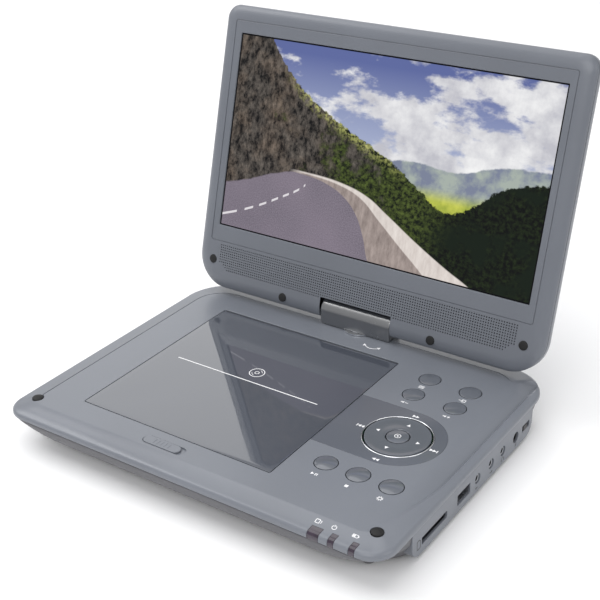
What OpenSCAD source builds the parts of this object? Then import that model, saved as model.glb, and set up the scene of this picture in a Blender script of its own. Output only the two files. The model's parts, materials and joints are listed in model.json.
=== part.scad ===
// Portable DVD player: a flat base with a disc bay, keys and ports, and a display that tilts on a
// centre hinge and swivels about an upright post. Millimetres, +Z up. The origin is on the ground,
// midway between the foremost and rearmost points of the open player.

/* [Base] */
// Overall width of the base
base_w = 254; // [250:1:258]
// Distance from the hinge's front line forward to the front edge
base_front = 178; // [176:0.5:182]
// Distance from the hinge's front line back to the rear edge
base_rear = 17.2; // [16.8:0.1:19]
// Height of the base's top plane above the ground
base_top = 26; // [26:0.1:27]
// Depth of the parting line between the top cover and the bottom shell
parting_z = 8; // [7.5:0.1:8.5]
// Depth of the parting line along the two port walls
port_top_z = 12; // [11.8:0.1:12.2]
// Wall thickness of the mouldings
wall = 2; // [1.8:0.1:2.2]
// Inset of the flat top from the sides of the base
plateau_side = 13; // [12:0.5:14]
// Inset of the flat top from the front of the base
plateau_front = 12; // [11:0.5:13]
// Inset of the flat top from the rear of the base
plateau_rear = 11; // [10:0.5:12]

/* [Display] */
// Overall width of the display half
lid_w = 250; // [248:1:252]
// Distance from the hinge axis up to the top edge
lid_top = 179; // [178:0.5:181]
// Distance from the hinge axis down to the bottom edge
lid_bottom = 5.5; // [4.5:0.1:5.6]
// Thickness of the display half
lid_t = 16; // [15.6:0.1:16.2]
// Lean of the open display above the horizontal, in degrees
lid_angle = 74.2; // [60:0.1:90]
// Visible width of the screen
screen_w = 222.7; // [220:0.1:224]
// Visible height of the screen
screen_h = 125.3; // [124:0.1:126]
// Distance from the hinge axis up to the screen's bottom edge
screen_y = 36; // [35.5:0.1:37]
// Diameter of a loudspeaker hole
grille_hole_d = 1.5; // [1.2:0.1:1.8]

/* [Hinge] */
// Height of the tilt axis above the base's top plane
pivot_z = 9.3; // [9.2:0.1:9.6]
// Distance of the tilt and swivel axes behind the hinge's front line
pivot_y = 7; // [7:0.1:7.2]
// Width of the hinge barrel
barrel_w = 50.4; // [50:0.1:51]
// Radius of the hinge barrel
barrel_r = 7; // [6.9:0.1:7]
// Radius of the two hinge pins
pin_r = 2.5; // [2.4:0.1:2.6]
// Outer radius of the swivel post
post_r = 5.5; // [5.4:0.1:5.6]
// Radius of the turntable disc under the barrel
turntable_r = 10.2; // [9.5:0.1:10.5]

/* [Disc bay] */
// Width of the disc door
door_w = 130.6; // [130:0.1:131]
// Depth of the disc door
door_d = 132.6; // [132:0.1:133]
// Thickness of the disc door
door_t = 2.4; // [2.2:0.1:2.5]
// Distance of the disc's centre left of the middle
disc_x = -23.05; // [-24:0.05:-22]
// Distance of the disc's centre in front of the hinge's front line
disc_y = -83.65; // [-84.5:0.05:-83]
// Radius of the round well that a disc lies in
well_r = 62.5; // [61.5:0.1:63]
// Radius of the hub's seat in the disc's centre hole
hub_r = 7.4; // [7.3:0.01:7.45]
// Travel of the pickup along its rods
sled_travel = 31; // [28:1:32]

/* [Controls] */
// Radius of the round keys
key_r = 6.3; // [6:0.1:6.5]
// Travel of a key
key_travel = 0.7; // [0.5:0.1:0.8]
// Outer radius of the direction ring
ring_r = 18.4; // [18:0.1:18.6]
// Radius of the enter key
enter_r = 6.3; // [6.2:0.1:6.4]
// Clearance around the keys
key_gap = 0.3; // [0.25:0.05:0.35]

/* [Ports] */
// Radius of the bore of a 3.5 mm jack
jack_bore_r = 1.8; // [1.77:0.01:1.82]
// Depth of the bore of a 3.5 mm jack
jack_depth = 14; // [13:0.5:15]
// Radius of the bore of the DC inlet
dc_bore_r = 2.05; // [2:0.01:2.1]
// Depth of the bore of the DC inlet
dc_depth = 9.5; // [9:0.5:10]

/* [Hidden] */

$fn = 64;
hull_fn = 32;
eps = 0.01;

// Colours
slate = [0.42, 0.44, 0.48];
slate_dark = [0.34, 0.36, 0.40];
gloss_slate = [0.36, 0.38, 0.42];
black = [0.07, 0.07, 0.08];
steel = [0.72, 0.73, 0.75];
board_green = [0.10, 0.36, 0.22];

// Radii of the corners seen from above
base_front_r = 20;
base_rear_r = 22;
lid_top_r = 9;
lid_low_r = 20;

// Half thickness, half widths and split of the display half
lid_half = lid_t / 2;
lid_x = lid_w / 2;
lid_split = 3;
back_inset = 10;
back_mid_inset = 4;
back_mid_drop = 1.6;
skin = 1.5;

// The open player's rearmost point is on one of the back cover's two rounded upper edges
flat_reach = (lid_top - back_inset) * cos(lid_angle) + lid_half * sin(lid_angle);
mid_reach = (lid_top - back_mid_inset) * cos(lid_angle) + (lid_half - back_mid_drop) * sin(lid_angle);
rear_reach = pivot_y + max(flat_reach, mid_reach);
hinge_y = (base_front - rear_reach) / 2;

// Levels below the base's top plane
shell_low = -24.2;
foot_low = -base_top;
ledge_z = -2.8;
well_floor = -7.5;
board_z = -6.5;
main_z = -18.5;

// Corners of the door opening, and the door's hinge axis
door_x0 = disc_x - door_w / 2;
door_x1 = disc_x + door_w / 2;
door_y0 = disc_y - door_d / 2;
door_y1 = disc_y + door_d / 2;
door_gap = 0.4;
door_roll_r = 1.8;
door_axis_y = door_y1 - door_roll_r;
door_axis_z = -door_roll_r;
door_pin_r = 0.9;
trough_low = door_axis_z - door_roll_r - door_gap - 1.3;

// Hinge details
notch_gap = 0.6;
notch_x = barrel_w / 2 + notch_gap;
notch_y = barrel_r + 0.7;
running = 0.05;
arm_r = 3.9;
arm_t = 1.3;
arm_x = 34.2;
ARM_SCREWS = [12, 22];
turntable_top = 1;
plate_z = -6;
clip_z = plate_z - 1.3;

// Keys: [x, y] from the middle and the hinge's front line
menu_at = [67.4, -24];
source_at = [94.1, -24.8];
volume_down_at = [67.4, -43.6];
volume_up_at = [94.4, -44.2];
play_at = [62.2, -127];
stop_at = [82, -127];
setup_at = [101.8, -127];
ring_at = [81.6, -86];
KEYS = [menu_at, source_at, volume_down_at, volume_up_at, play_at, stop_at, setup_at];
key_proud = 0.6;
key_flange_r = key_r + 0.9;
dome_top = board_z + 0.6;
ring_dome_r = 13.4;
rock_z = -3.4;
rock_pin_r = 0.5;
bracket_r = 10;
enter_gap = 0.8;
inlay_half = 27;
inlay_t = 0.4;

// Port wall on the right: distances from the hinge's front line and heights
port_face = 125.2;
power_y = -17.3;
dc_y = -30.9;
jack_ys = [-47.5, -61.7, -77.9];
usb_y = -93.8;
card_y = -126.4;
port_z = -15.2;
dc_z = -15.6;
usb_z = -15.6;
card_z = -15.4;
knob_travel = 2.4;

// Latch slider at the front
latch_at = [-22, -160];
latch_len = 25;
latch_wid = 6.4;
latch_travel = 3;

// Screw posts between the two halves of the base, and the feet
POSTS = [[-106, -156], [106, -156], [-106, -5], [106, -5], [-75, -156], [30, -156], [-75, -6], [45, -7]];
post_split = -13;
FEET = [[-100, -148], [100, -148], [-100, -14], [100, -14]];
foot_r = 6;
base_bumper = [113.8, -160.8];
base_bumper_r = 3.6;
base_bumper_sink = 0.9;

// Loader levels
chassis_top = -9.3;
rod_z = -14.2;
rod_x = 18.3;
rod_r = 1.5;
screw_x = 26;
screw_z = -15.6;
screw_r = 1.5;
lens_y = -26;
sled_half = 11;
rod_y0 = lens_y - sled_half - sled_travel - 6;
rod_y1 = -8;
lens_r = 2.6;
lens_seat_r = 4.3;
lens_seat_z = -11.2;
slot_end = lens_y - sled_travel - lens_r - 0.4;
DAMPERS = [[-30.4, -68], [30.4, -66], [-30.4, 24], [30.4, 24]];

// Front windows: [centre x, width]
WINDOWS = [[88.6, 9], [99.2, 4], [110.4, 4]];
window_reach = 8;

// Display interior
glass_front = 6.5;
glass_t = 1.6;
glass_lap = 3;
light_z = 1.6;
grille_x = 108.5;
grille_y0 = 5;
grille_y1 = 24.5;
grille_pitch = 3.9;
BUMPERS = [[-112.5, 12.3], [112.5, 12.3], [-54.2, -0.4], [54.2, -0.4]];
bumper_r = 2.8;
seam_x = 116;
seam_low = 10.7;
seam_high = 7.9;
seam_w = 0.5;
seam_d = 0.35;
bumper_sink = 1.1;
bumper_proud = 0.6;

// ---------------------------------------------------------------- frames of reference

// Base frame: hinge's front line on the base's top plane
module at_base() translate([0, hinge_y, base_top]) children();

// Display frame: x across, y up along the display from the tilt axis, z out of the screen
module at_lid() at_base() translate([0, pivot_y, pivot_z]) rotate([lid_angle, 0, 0]) children();

// Hinge frame: tilt axis at the middle of the barrel
module at_hinge() at_base() translate([0, pivot_y, 0]) children();

// Loader frame: the disc's centre on the base's top plane
module at_loader() at_base() translate([disc_x, disc_y, 0]) children();

// ---------------------------------------------------------------- shared shapes

// Rectangle from [x0, y0] to [x1, y1] with its own radius at the low-y and the high-y corners
module round_rect(x0, y0, x1, y1, r0, r1, fn = 64) {
  translate([x0, y0 + r0]) square([x1 - x0, y1 - r1 - y0 - r0]);
  translate([x0 + r0, y0]) square([x1 - x0 - 2 * r0, r0 + eps]);
  translate([x0 + r1, y1 - r1 - eps]) square([x1 - x0 - 2 * r1, r1 + eps]);
  for (x = [x0 + r0, x1 - r0]) translate([x, y0 + r0]) circle(r0, $fn = fn);
  for (x = [x0 + r1, x1 - r1]) translate([x, y1 - r1]) circle(r1, $fn = fn);
}

// Cylinders that lie along +X and along +Y, from a given point
module along_x(at, len, r) translate(at) rotate([0, 90, 0]) cylinder(h = len, r = r);
module along_y(at, len, r) translate(at) rotate([-90, 0, 0]) cylinder(h = len, r = r);

// A thin slice of an outline at height z, for hulls
module slice(z) translate([0, 0, z - eps]) linear_extrude(eps) children();

// The base's outline, inset at its sides, front and rear
module base_outline(side, front, rear, fn = hull_fn) {
  x = base_w / 2 - side;
  cut = (front + side) / 2;
  round_rect(-x, -base_front + front, x, base_rear - rear,
             max(base_front_r - cut / 2, 6), max(base_rear_r - cut / 2, 6), fn);
}

// The whole base as one solid, or its inside when it is shrunk by t
module base_body(t) {
  hull() {
    slice(-t + 0) base_outline(plateau_side + t * 0.6, plateau_front + t * 0.6, plateau_rear + t * 0.6);
    slice(-1.8 - t * 0.9) base_outline(2 + t, 2 + t, 2 + t);
    slice(-4.5) base_outline(t, t, t);
    slice(-port_top_z) base_outline(0.6 + t, 1.2 + t, 1.2 + t);
    slice(shell_low + t) base_outline(2.2 + t, 13 + t, 12 + t);
  }
}

// The part of the base that belongs to the top cover
module top_region() {
  translate([-base_w, -base_front - 10, -parting_z]) cube([2 * base_w, 220, parting_z + 10]);
  for (s = [-1, 1]) {
    translate([s * base_w / 2 - 6, -152, -port_top_z]) cube([12, 146, port_top_z]);
  }
}

// A round key: cap, retaining flange and stem
module key(at, r) {
  translate([at[0], at[1], -3.4]) cylinder(h = 3.4 + key_proud, r = r);
  translate([at[0], at[1], -3.4]) cylinder(h = 1, r = key_flange_r);
  translate([at[0], at[1], dome_top + key_travel + 0.3]) cylinder(h = 4, r = 1.6);
}

// A countersunk case screw that points up from z = 0
module screw(len, r, head_r, head_h) {
  cylinder(h = head_h, r = head_r);
  translate([0, 0, head_h - eps]) cylinder(h = len, r = r);
}

// ---------------------------------------------------------------- display half

module lid_outline(side, low, high, fn = hull_fn) {
  x = lid_x - side;
  round_rect(-x, -lid_bottom + low, x, lid_top - high, lid_low_r - side, max(lid_top_r - side, 3), fn);
}

// Loudspeaker holes: rows of a staggered grid inside a trapezium
module grille_holes() {
  rows = floor((grille_y1 - grille_y0) / grille_pitch);
  for (row = [0:rows]) {
    y = grille_y1 - row * grille_pitch;
    reach = grille_x - max(0, (13 - y) * 3);
    count = floor(reach / grille_pitch);
    for (i = [-count:count]) {
      x = i * grille_pitch;
      if (y > 12 || abs(x) > 30) translate([x, y, 4]) cylinder(h = 6, d = grille_hole_d, $fn = 16);
    }
  }
}

// The space in the display's lower edge for the hinge barrel
module notch() {
  translate([-notch_x, -20, -20]) cube([2 * notch_x, 20 + notch_y, 40]);
}

// The area of the bezel inside its decorative seam, less the seam's own width
module seam_area(less) {
  translate([less - seam_x, screen_y - seam_low + less])
    square([2 * (seam_x - less), screen_h + seam_low + seam_high - 2 * less]);
}

// Walls around the notch, between two heights
module notch_walls(z0, z1) {
  translate([-notch_x - skin, -2.5, z0]) cube([2 * (notch_x + skin), notch_y + skin + 2.5, z1 - z0]);
}

module screen_bezel() {
  color(slate) at_lid() difference() {
    union() {
      difference() {
        hull() {
          slice(lid_split + 0.6) lid_outline(0, 0, 0);
          slice(lid_half - 2.5) lid_outline(0, 0.8, 0);
          slice(lid_half) lid_outline(1.4, 3.6, 1.4);
        }
        translate([0, 0, lid_split - 1]) linear_extrude(lid_half - skin - lid_split + 1)
          lid_outline(2.2, 4, 2.2, 64);
      }
      intersection() {
        notch_walls(lid_split, lid_half - 0.5);
        translate([0, 0, lid_split]) linear_extrude(20) lid_outline(2, 3, 2, 64);
      }
      for (p = BUMPERS) translate([p[0], p[1], lid_split]) cylinder(h = lid_half - skin - lid_split, r = 2.6);
    }
    translate([-screen_w / 2, screen_y, 0]) cube([screen_w, screen_h, 20]);
    notch();
    arm_room();
    grille_holes();
    for (p = BUMPERS) {
      translate([p[0], p[1], lid_half - bumper_sink]) cylinder(h = 5, r = bumper_r);
      translate([p[0], p[1], 0]) cylinder(h = 20, r = 1.4);
    }
    difference() {
      translate([0, 0, lid_half - seam_d]) linear_extrude(1) seam_area(0);
      translate([0, 0, lid_half - seam_d - 1]) linear_extrude(3) seam_area(seam_w);
    }
  }
}

module screen_back_cover() {
  color(slate_dark) at_lid() difference() {
    union() {
      difference() {
        hull() {
          slice(lid_split) lid_outline(0, 0, 0);
          slice(-2) lid_outline(0.4, 0.2, 0.4);
          slice(-lid_half + back_mid_drop) lid_outline(back_mid_inset, 3, back_mid_inset);
          slice(-lid_half + eps) lid_outline(back_inset, 7, back_inset);
        }
        hull() {
          slice(lid_split + 0.02) lid_outline(2, 2, 2);
          slice(-2) lid_outline(2.4, 2.4, 2.4);
          slice(-lid_half + skin) lid_outline(back_inset, 8, back_inset);
        }
      }
      intersection() {
        notch_walls(-lid_half + 1, lid_split);
        translate([0, 0, -20]) linear_extrude(40) lid_outline(3, 3.4, 3, 64);
      }
      for (p = BUMPERS) lid_post(p, p[1] < 5 ? -4.4 : -lid_half + 1);
      for (s = [-1, 1], y = ARM_SCREWS) translate([s * arm_x, y, -lid_half + 1])
        cylinder(h = lid_half - 1 - arm_r, r = 3);
    }
    notch();
    translate([-60, 0, 0]) rotate([0, 90, 0]) cylinder(h = 120, r = 2.85);
    for (p = BUMPERS) translate([p[0], p[1], -3]) cylinder(h = 20, r = 1.05);
    arm_room();
    for (s = [-1, 1], y = ARM_SCREWS) translate([s * arm_x, y, -6.9]) cylinder(h = 10, r = 1.05);
  }
}

// Screw post of the back cover, up to the bezel
module lid_post(at, z0) {
  translate([at[0], at[1], z0]) cylinder(h = lid_split - z0, r = 2.6);
}

// Room for the barrels of the hinge arms
module arm_room() {
  for (s = [-1, 1]) along_x([s * arm_x - 6, 0, 0], 12, arm_r + 0.15);
}

// The screen's visible area, grown on all sides
module screen_area(grow) {
  translate([-screen_w / 2 - grow, screen_y - grow]) square([screen_w + 2 * grow, screen_h + 2 * grow]);
}

module lcd_panel() {
  color(black) at_lid() translate([0, 0, glass_front - glass_t])
    linear_extrude(glass_t) screen_area(glass_lap);
}

module lcd_backlight() {
  color(steel) at_lid() difference() {
    translate([0, 0, light_z]) linear_extrude(glass_front - light_z - 0.6) screen_area(glass_lap + 1.5);
    translate([0, 0, glass_front - glass_t]) linear_extrude(9) screen_area(glass_lap + 0.1);
  }
}

module display_board() {
  color(board_green) at_lid() {
    translate([-60, 62, -1.6]) cube([120, 52, 1.6]);
    translate([-20, 78, 0]) cube([16, 16, 1.2]);
    translate([14, 74, 0]) cube([10, 6, 1.2]);
    translate([30, 92, 0]) cube([18, 5, 1.5]);
    for (x = [-50, 48], y = [70, 106]) translate([x, y, skin - lid_half])
      cylinder(h = lid_half - skin - 1.5, r = 2.5);
  }
}

// A slim oval loudspeaker behind the perforations
module speaker(s) {
  color(black) at_lid() translate([s * 78, 15, 0]) {
    translate([0, 0, 2.2]) linear_extrude(glass_front - 2.2) oval(17, 8.4);
    translate([0, 0, -1.8]) cylinder(h = 4.4, r = 6);
  }
}

// Oval made of two circles and a square
module oval(half, r) {
  for (s = [-1, 1]) translate([s * (half - r), 0]) circle(r);
  square([2 * (half - r), 2 * r], center = true);
}

module speaker_left() speaker(-1);
module speaker_right() speaker(1);

module bezel_bumpers() {
  color(black) at_lid() for (p = BUMPERS) translate([p[0], p[1], lid_half - bumper_sink])
    cylinder(h = bumper_sink + bumper_proud, r = bumper_r);
}

// Steel arm with a barrel that turns on the hinge pin and a leaf screwed to the back cover
module hinge_arm(s) {
  color(steel) at_lid() translate([s * arm_x, 0, 0]) difference() {
    union() {
      rotate([0, 90, 0]) cylinder(h = 11, r = arm_r, center = true);
      translate([-5.5, 0, -arm_r]) cube([11, 27, arm_t]);
      translate([-5.5, 0, -arm_r]) cube([11, 4.5, 2.6]);
    }
    rotate([0, 90, 0]) cylinder(h = 20, r = pin_r + running, center = true);
    for (y = ARM_SCREWS) translate([0, y, -6]) cylinder(h = 5, r = 1.2);
  }
}

module hinge_arm_left() hinge_arm(-1);
module hinge_arm_right() hinge_arm(1);

module lid_screws() {
  color(steel) at_lid() {
    for (s = [-1, 1], y = ARM_SCREWS) translate([s * arm_x, y, 1.4 - arm_r + arm_t])
      mirror([0, 0, 1]) screw(3.2, 1, 2.1, 1.4);
    for (p = BUMPERS) translate([p[0], p[1], lid_half - 1.15]) mirror([0, 0, 1]) screw(7, 1, 1.3, 1.2);
  }
}

// ---------------------------------------------------------------- hinge head

// Section of the hinge barrel: a half round on a block, shrunk by t
module barrel_section(t) {
  circle(barrel_r - t);
  translate([-barrel_r + t, -pivot_z + 0.4 + t]) square([2 * (barrel_r - t), pivot_z - 0.4 - t]);
}

// The hollow barrel, whole
module barrel_shell() {
  difference() {
    at_hinge() translate([0, 0, pivot_z]) rotate([90, 0, 90]) translate([0, 0, -barrel_w / 2])
      linear_extrude(barrel_w) barrel_section(0);
    at_hinge() translate([0, 0, pivot_z]) rotate([90, 0, 90]) translate([0, 0, -barrel_w / 2 + skin])
      linear_extrude(barrel_w - 2 * skin) barrel_section(skin);
    at_hinge() translate([0, 0, pivot_z]) rotate([0, 90, 0]) cylinder(h = 100, r = pin_r, center = true);
    at_hinge() translate([0, 0, -1]) cylinder(h = 5, r = turntable_r - 3.4);
    at_hinge() translate([0, 0, -1]) cylinder(h = 1 + turntable_top + running, r = turntable_r);
  }
}

module hinge_front_cover() {
  color(slate) intersection() {
    barrel_shell();
    at_hinge() translate([-50, -20, -1]) cube([100, 20, 40]);
  }
}

module hinge_rear_cover() {
  color(slate) intersection() {
    barrel_shell();
    at_hinge() translate([-50, 0, -1]) cube([100, 20, 40]);
  }
}

module hinge_frame() {
  color(steel) at_hinge() difference() {
    union() {
      translate([-20, -4.5, 3.4]) cube([40, 9, 1.5]);
      for (x = [-20, 18]) translate([x, -4.5, 3.4]) cube([2, 9, pivot_z - 3.4]);
      for (x = [-20, 18]) translate([x, 0, pivot_z]) rotate([0, 90, 0]) cylinder(h = 2, r = 4.5);
    }
    translate([0, 0, pivot_z]) rotate([0, 90, 0]) cylinder(h = 100, r = pin_r, center = true);
    translate([0, 0, 2]) cylinder(h = 5, r = 3.6);
  }
}

module hinge_pins() {
  color(steel) at_hinge() for (s = [-1, 1]) translate([s * 27.2, 0, pivot_z]) rotate([0, 90, 0])
    cylinder(h = 26, r = pin_r, center = true);
}

module swivel_post() {
  color(steel) at_hinge() difference() {
    translate([0, 0, clip_z - 1.2]) cylinder(h = 4.6 - clip_z, r = post_r);
    translate([0, 0, -20]) cylinder(h = 40, r = 3.6);
    for (s = [0, 1]) mirror([s, 0, 0]) translate([4.6, -3, clip_z]) cube([3, 6, 0.9]);
  }
}

module turntable_disc() {
  color(steel) at_hinge() difference() {
    union() {
      translate([0, 0, turntable_top - 0.65]) cylinder(h = 0.65, r = turntable_r);
      translate([0, 0, turntable_top - eps]) cylinder(h = 3.4 - turntable_top, r = turntable_r - 3.4);
    }
    cylinder(h = 10, r = post_r);
  }
}

module retaining_clip() {
  color(steel) at_hinge() translate([0, 0, clip_z]) {
    difference() {
      cylinder(h = 0.9, r = 7);
      translate([0, 0, -1]) cylinder(h = 3, r = post_r);
    }
    for (s = [0, 1]) mirror([s, 0, 0]) translate([4.6, -2.9, 0]) cube([1.4, 5.8, 0.9]);
  }
}

// ---------------------------------------------------------------- base shells

// Outline of the control inlay: a stripe with a round end about the direction ring
module inlay_outline(grow) {
  translate([door_x1 + door_gap + 0.3 - grow, ring_at[1] - inlay_half - grow])
    square([ring_at[0] - door_x1 - door_gap - 0.3 + grow, 2 * (inlay_half + grow)]);
  translate(ring_at) circle(inlay_half + grow, $fn = 96);
}

// The latch slider's long hole, moved by the slider's travel
module latch_outline(grow, travel) {
  for (x = [-latch_len / 2 + latch_wid / 2, latch_len / 2 - latch_wid / 2 + travel])
    translate([latch_at[0] + x, latch_at[1]]) circle(latch_wid / 2 + grow);
  translate([latch_at[0] - latch_len / 2 + latch_wid / 2, latch_at[1] - latch_wid / 2 - grow])
    square([latch_len - latch_wid + travel, latch_wid + 2 * grow]);
}

// Slots in the front edge for the tinted windows
module window_slots(shrink) {
  for (w = WINDOWS) translate([w[0] - w[1] / 2 + shrink, -base_front - 1, -parting_z])
    cube([w[1] - 2 * shrink, window_reach + 1, parting_z + 2]);
}

module top_cover() {
  color(slate) at_base() difference() {
    union() {
      intersection() {
        difference() {
          base_body(0);
          base_body(wall);
        }
        top_region();
      }
      // ledge and round wall of the disc well, its floor, and the trough for the door's rolled edge
      difference() {
        union() {
          translate([door_x0 - 2.5, door_y0 - 2.5, ledge_z - 1.4])
            cube([door_w + 5, door_d + 5, 1.4 - ledge_z - 0.9]);
          translate([door_x0 - 2.5, door_axis_y - 3.4, trough_low])
            cube([door_w + 5, door_y1 - door_axis_y + 5.9, ledge_z - trough_low]);
          translate([disc_x, disc_y, well_floor - 1.4]) cylinder(h = 5, r = well_r + 1.5, $fn = 128);
        }
        translate([disc_x, disc_y, well_floor]) cylinder(h = 20, r = well_r, $fn = 128);
        translate([door_x0 - door_gap, door_y0 - door_gap, ledge_z])
          cube([door_w + 2 * door_gap, door_d + 2 * door_gap, 20]);
        along_x([door_x0 - door_gap, door_axis_y, door_axis_z],
                door_w + 2 * door_gap, door_roll_r + door_gap);
      }
      // posts for the case screws
      for (p = POSTS) translate([p[0], p[1], post_split]) cylinder(h = -post_split - 1.5, r = 2.8);
      // bosses that hold the swivel plate
      for (x = [-16, 16]) translate([x, 0, plate_z + 1.6]) cylinder(h = -plate_z - 3, r = 3);
      // bosses that carry the door's pins
      for (x = [door_x0 - door_gap - 4, door_x1 + door_gap])
        translate([x, door_axis_y - 3, -5]) cube([4, 5, 4.5]);
    }
    // door opening
    translate([door_x0 - door_gap, door_y0 - door_gap, ledge_z])
      cube([door_w + 2 * door_gap, door_d + 2 * door_gap, 20]);
    // cut-outs in the well floor for the hub and the pickup
    translate([disc_x, disc_y, well_floor - 5]) cylinder(h = 8, r = 15);
    translate([disc_x - 21, disc_y + slot_end, well_floor - 5]) cube([42, -8 - slot_end, 8]);
    // pocket for the door's keeper
    translate([latch_at[0] - 5, door_y0 + 0.6, -9]) cube([10, 3.4, 9]);
    // holes for the keys, the ring and the inlay
    for (p = KEYS) translate([p[0], p[1], -5]) cylinder(h = 10, r = key_r + key_gap);
    translate([ring_at[0], ring_at[1], -5]) cylinder(h = 10, r = ring_r + 1.7);
    translate([0, 0, -inlay_t]) linear_extrude(5) inlay_outline(0.05);
    // latch slot, windows, hinge post, door pins, bumper and screw holes
    translate([0, 0, -5]) linear_extrude(10) latch_outline(0.35, latch_travel);
    window_slots(0);
    translate([0, pivot_y, -5]) cylinder(h = 10, r = post_r + 0.5);
    along_x([door_x0 - 3.2, door_axis_y, door_axis_z], door_w + 2 * 3.2, door_pin_r + running);
    for (s = [-1, 1]) translate([s * base_bumper[0], base_bumper[1], -base_bumper_sink])
      cylinder(h = 4, r = base_bumper_r);
    for (p = POSTS) translate([p[0], p[1], post_split - 1]) cylinder(h = 8, r = 1.25);
  }
}

module bottom_shell() {
  color(slate_dark) at_base() difference() {
    union() {
      difference() {
        intersection() {
          difference() {
            base_body(0);
            base_body(wall);
          }
          translate([-base_w, -base_front - 10, shell_low - 1])
            cube([2 * base_w, 220, -shell_low - parting_z + 1]);
        }
        for (s = [-1, 1]) translate([s * base_w / 2 - 6, -152, -port_top_z]) cube([12, 146, port_top_z]);
      }
      for (p = POSTS) translate([p[0], p[1], shell_low + 1])
        cylinder(h = post_split - shell_low - 1.3, r = 3.2);
      // cradle walls of the battery bay
      for (x = [-118, -95]) translate([x, -146, shell_low + 1]) cube([1.2, 134, 6]);
    }
    for (p = POSTS) translate([p[0], p[1], shell_low - 1]) cylinder(h = 20, r = 1.5);
    for (p = POSTS) translate([p[0], p[1], shell_low - 1]) cylinder(h = 4.2, r = 2.7);
    for (p = FEET) translate([p[0], p[1], shell_low - 1]) cylinder(h = 2, r = foot_r);
    // openings in the port wall
    translate([100, power_y - 5, port_z - 1.9]) cube([40, 9.2, 3.8]);
    translate([100, dc_y, dc_z]) rotate([0, 90, 0]) cylinder(h = 40, r = 3.3);
    for (y = jack_ys) translate([100, y, port_z]) rotate([0, 90, 0]) cylinder(h = 40, r = 2.95);
    translate([100, usb_y - 7.1, usb_z - 3.2]) cube([40, 14.2, 6.4]);
    translate([100, card_y - 14.5, card_z - 1.9]) cube([40, 29, 3.8]);
    // cooling slots in the floor
    for (i = [0:7]) translate([55 + i * 6, -110, shell_low - 1]) cube([2, 40, 4]);
  }
}

module swivel_plate() {
  color(steel) at_base() difference() {
    translate([-20, -6, plate_z]) cube([40, 20, 1.6]);
    translate([0, pivot_y, -10]) cylinder(h = 10, r = post_r + running);
    for (x = [-16, 16]) translate([x, 0, -10]) cylinder(h = 10, r = 1.6);
  }
}

module control_inlay() {
  color(gloss_slate) at_base() difference() {
    translate([0, 0, -inlay_t]) linear_extrude(inlay_t) inlay_outline(0);
    translate([ring_at[0], ring_at[1], -5]) cylinder(h = 10, r = ring_r + 1.7);
  }
}

module ring_trim() {
  color(steel) at_base() translate([ring_at[0], ring_at[1], -1.6]) difference() {
    cylinder(h = 2, r = ring_r + 1.65, $fn = 128);
    translate([0, 0, -1]) cylinder(h = 5, r = ring_r + 0.8, $fn = 128);
  }
}

// ---------------------------------------------------------------- electronics in the base

module keypad_board() {
  color(board_green) at_base() difference() {
    translate([50, -140, board_z - 1.2]) cube([64, 128, 1.2]);
    for (x = [56, 110], y = [-110, -60]) translate([x, y, -20]) cylinder(h = 20, r = 1.6);
  }
}

// Dome switches, and the brackets in which the direction ring's carrier rocks
module dome_switches() {
  color(steel) at_base() {
    for (p = concat(KEYS, [ring_at])) translate([p[0], p[1], board_z]) cylinder(h = 0.6, r = 2.6);
    translate([ring_at[0], ring_at[1], board_z]) {
      for (a = [0:90:270]) rotate(a) translate([ring_dome_r, 0, 0]) cylinder(h = 0.6, r = 2.6);
      // brackets that carry the ring carrier's pins
      for (a = [0, 180]) rotate(a) difference() {
        translate([bracket_r, -1.2, 0]) cube([1, 2.4, rock_z - board_z + 0.9]);
        along_x([0, 0, rock_z - board_z], 20, rock_pin_r + running);
      }
    }
  }
}

module main_board() {
  color(board_green) at_base() {
    translate([48, -145, main_z - 1.6]) cube([70, 134, 1.6]);
    translate([62, -92, main_z]) cube([22, 22, 1.8]);
    translate([62, -62, main_z]) cube([12, 20, 1.4]);
    translate([62, -120, main_z]) cube([14, 14, 3.5]);
    for (p = [[92, -40], [92, -52], [88, -112]]) translate([p[0], p[1], main_z]) cylinder(h = 7, r = 4);
  }
}

module battery_pack() {
  color([0.16, 0.30, 0.55]) at_base() for (y = [-144, -78.5]) along_y([-106.2, y, -12.6], 65, 9.2);
}

module dc_jack() {
  color(black) at_base() translate([0, dc_y, dc_z]) {
    difference() {
      union() {
        translate([port_face - 13, -4.5, main_z - dc_z]) cube([11, 9, 7.4]);
        translate([port_face - 3, 0, 0]) rotate([0, 90, 0]) cylinder(h = 3, r = 3.2);
      }
      translate([port_face - dc_depth, 0, 0]) rotate([0, 90, 0]) cylinder(h = 20, r = dc_bore_r);
    }
    translate([port_face - dc_depth - 0.5, 0, 0]) rotate([0, 90, 0]) cylinder(h = dc_depth - 1, r = 0.8);
  }
}

module av_jacks() {
  color(black) at_base() for (y = jack_ys) translate([0, y, port_z]) difference() {
    union() {
      translate([port_face - 15.5, -3.4, main_z - port_z]) cube([13, 6.8, 6.3]);
      translate([port_face - 3, 0, 0]) rotate([0, 90, 0]) cylinder(h = 3, r = 2.85);
    }
    translate([port_face - jack_depth, 0, 0]) rotate([0, 90, 0]) cylinder(h = 20, r = jack_bore_r);
  }
}

module usb_port() {
  color(steel) at_base() translate([port_face - 14, usb_y, usb_z]) {
    difference() {
      translate([0, -6.55, -2.85]) cube([14, 13.1, 5.7]);
      translate([1, -6.25, -2.55]) cube([20, 12.5, 5.1]);
    }
    translate([0.5, -5.5, 0.2]) cube([10.5, 11, 1.8]);
  }
}

module card_slot() {
  color(steel) at_base() translate([port_face - 30, card_y, card_z]) difference() {
    translate([0, -14.2, main_z - card_z]) cube([28, 28.4, 1.75 + card_z - main_z]);
    translate([2, -12.4, -1.3]) cube([40, 24.8, 2.6]);
  }
}

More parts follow.
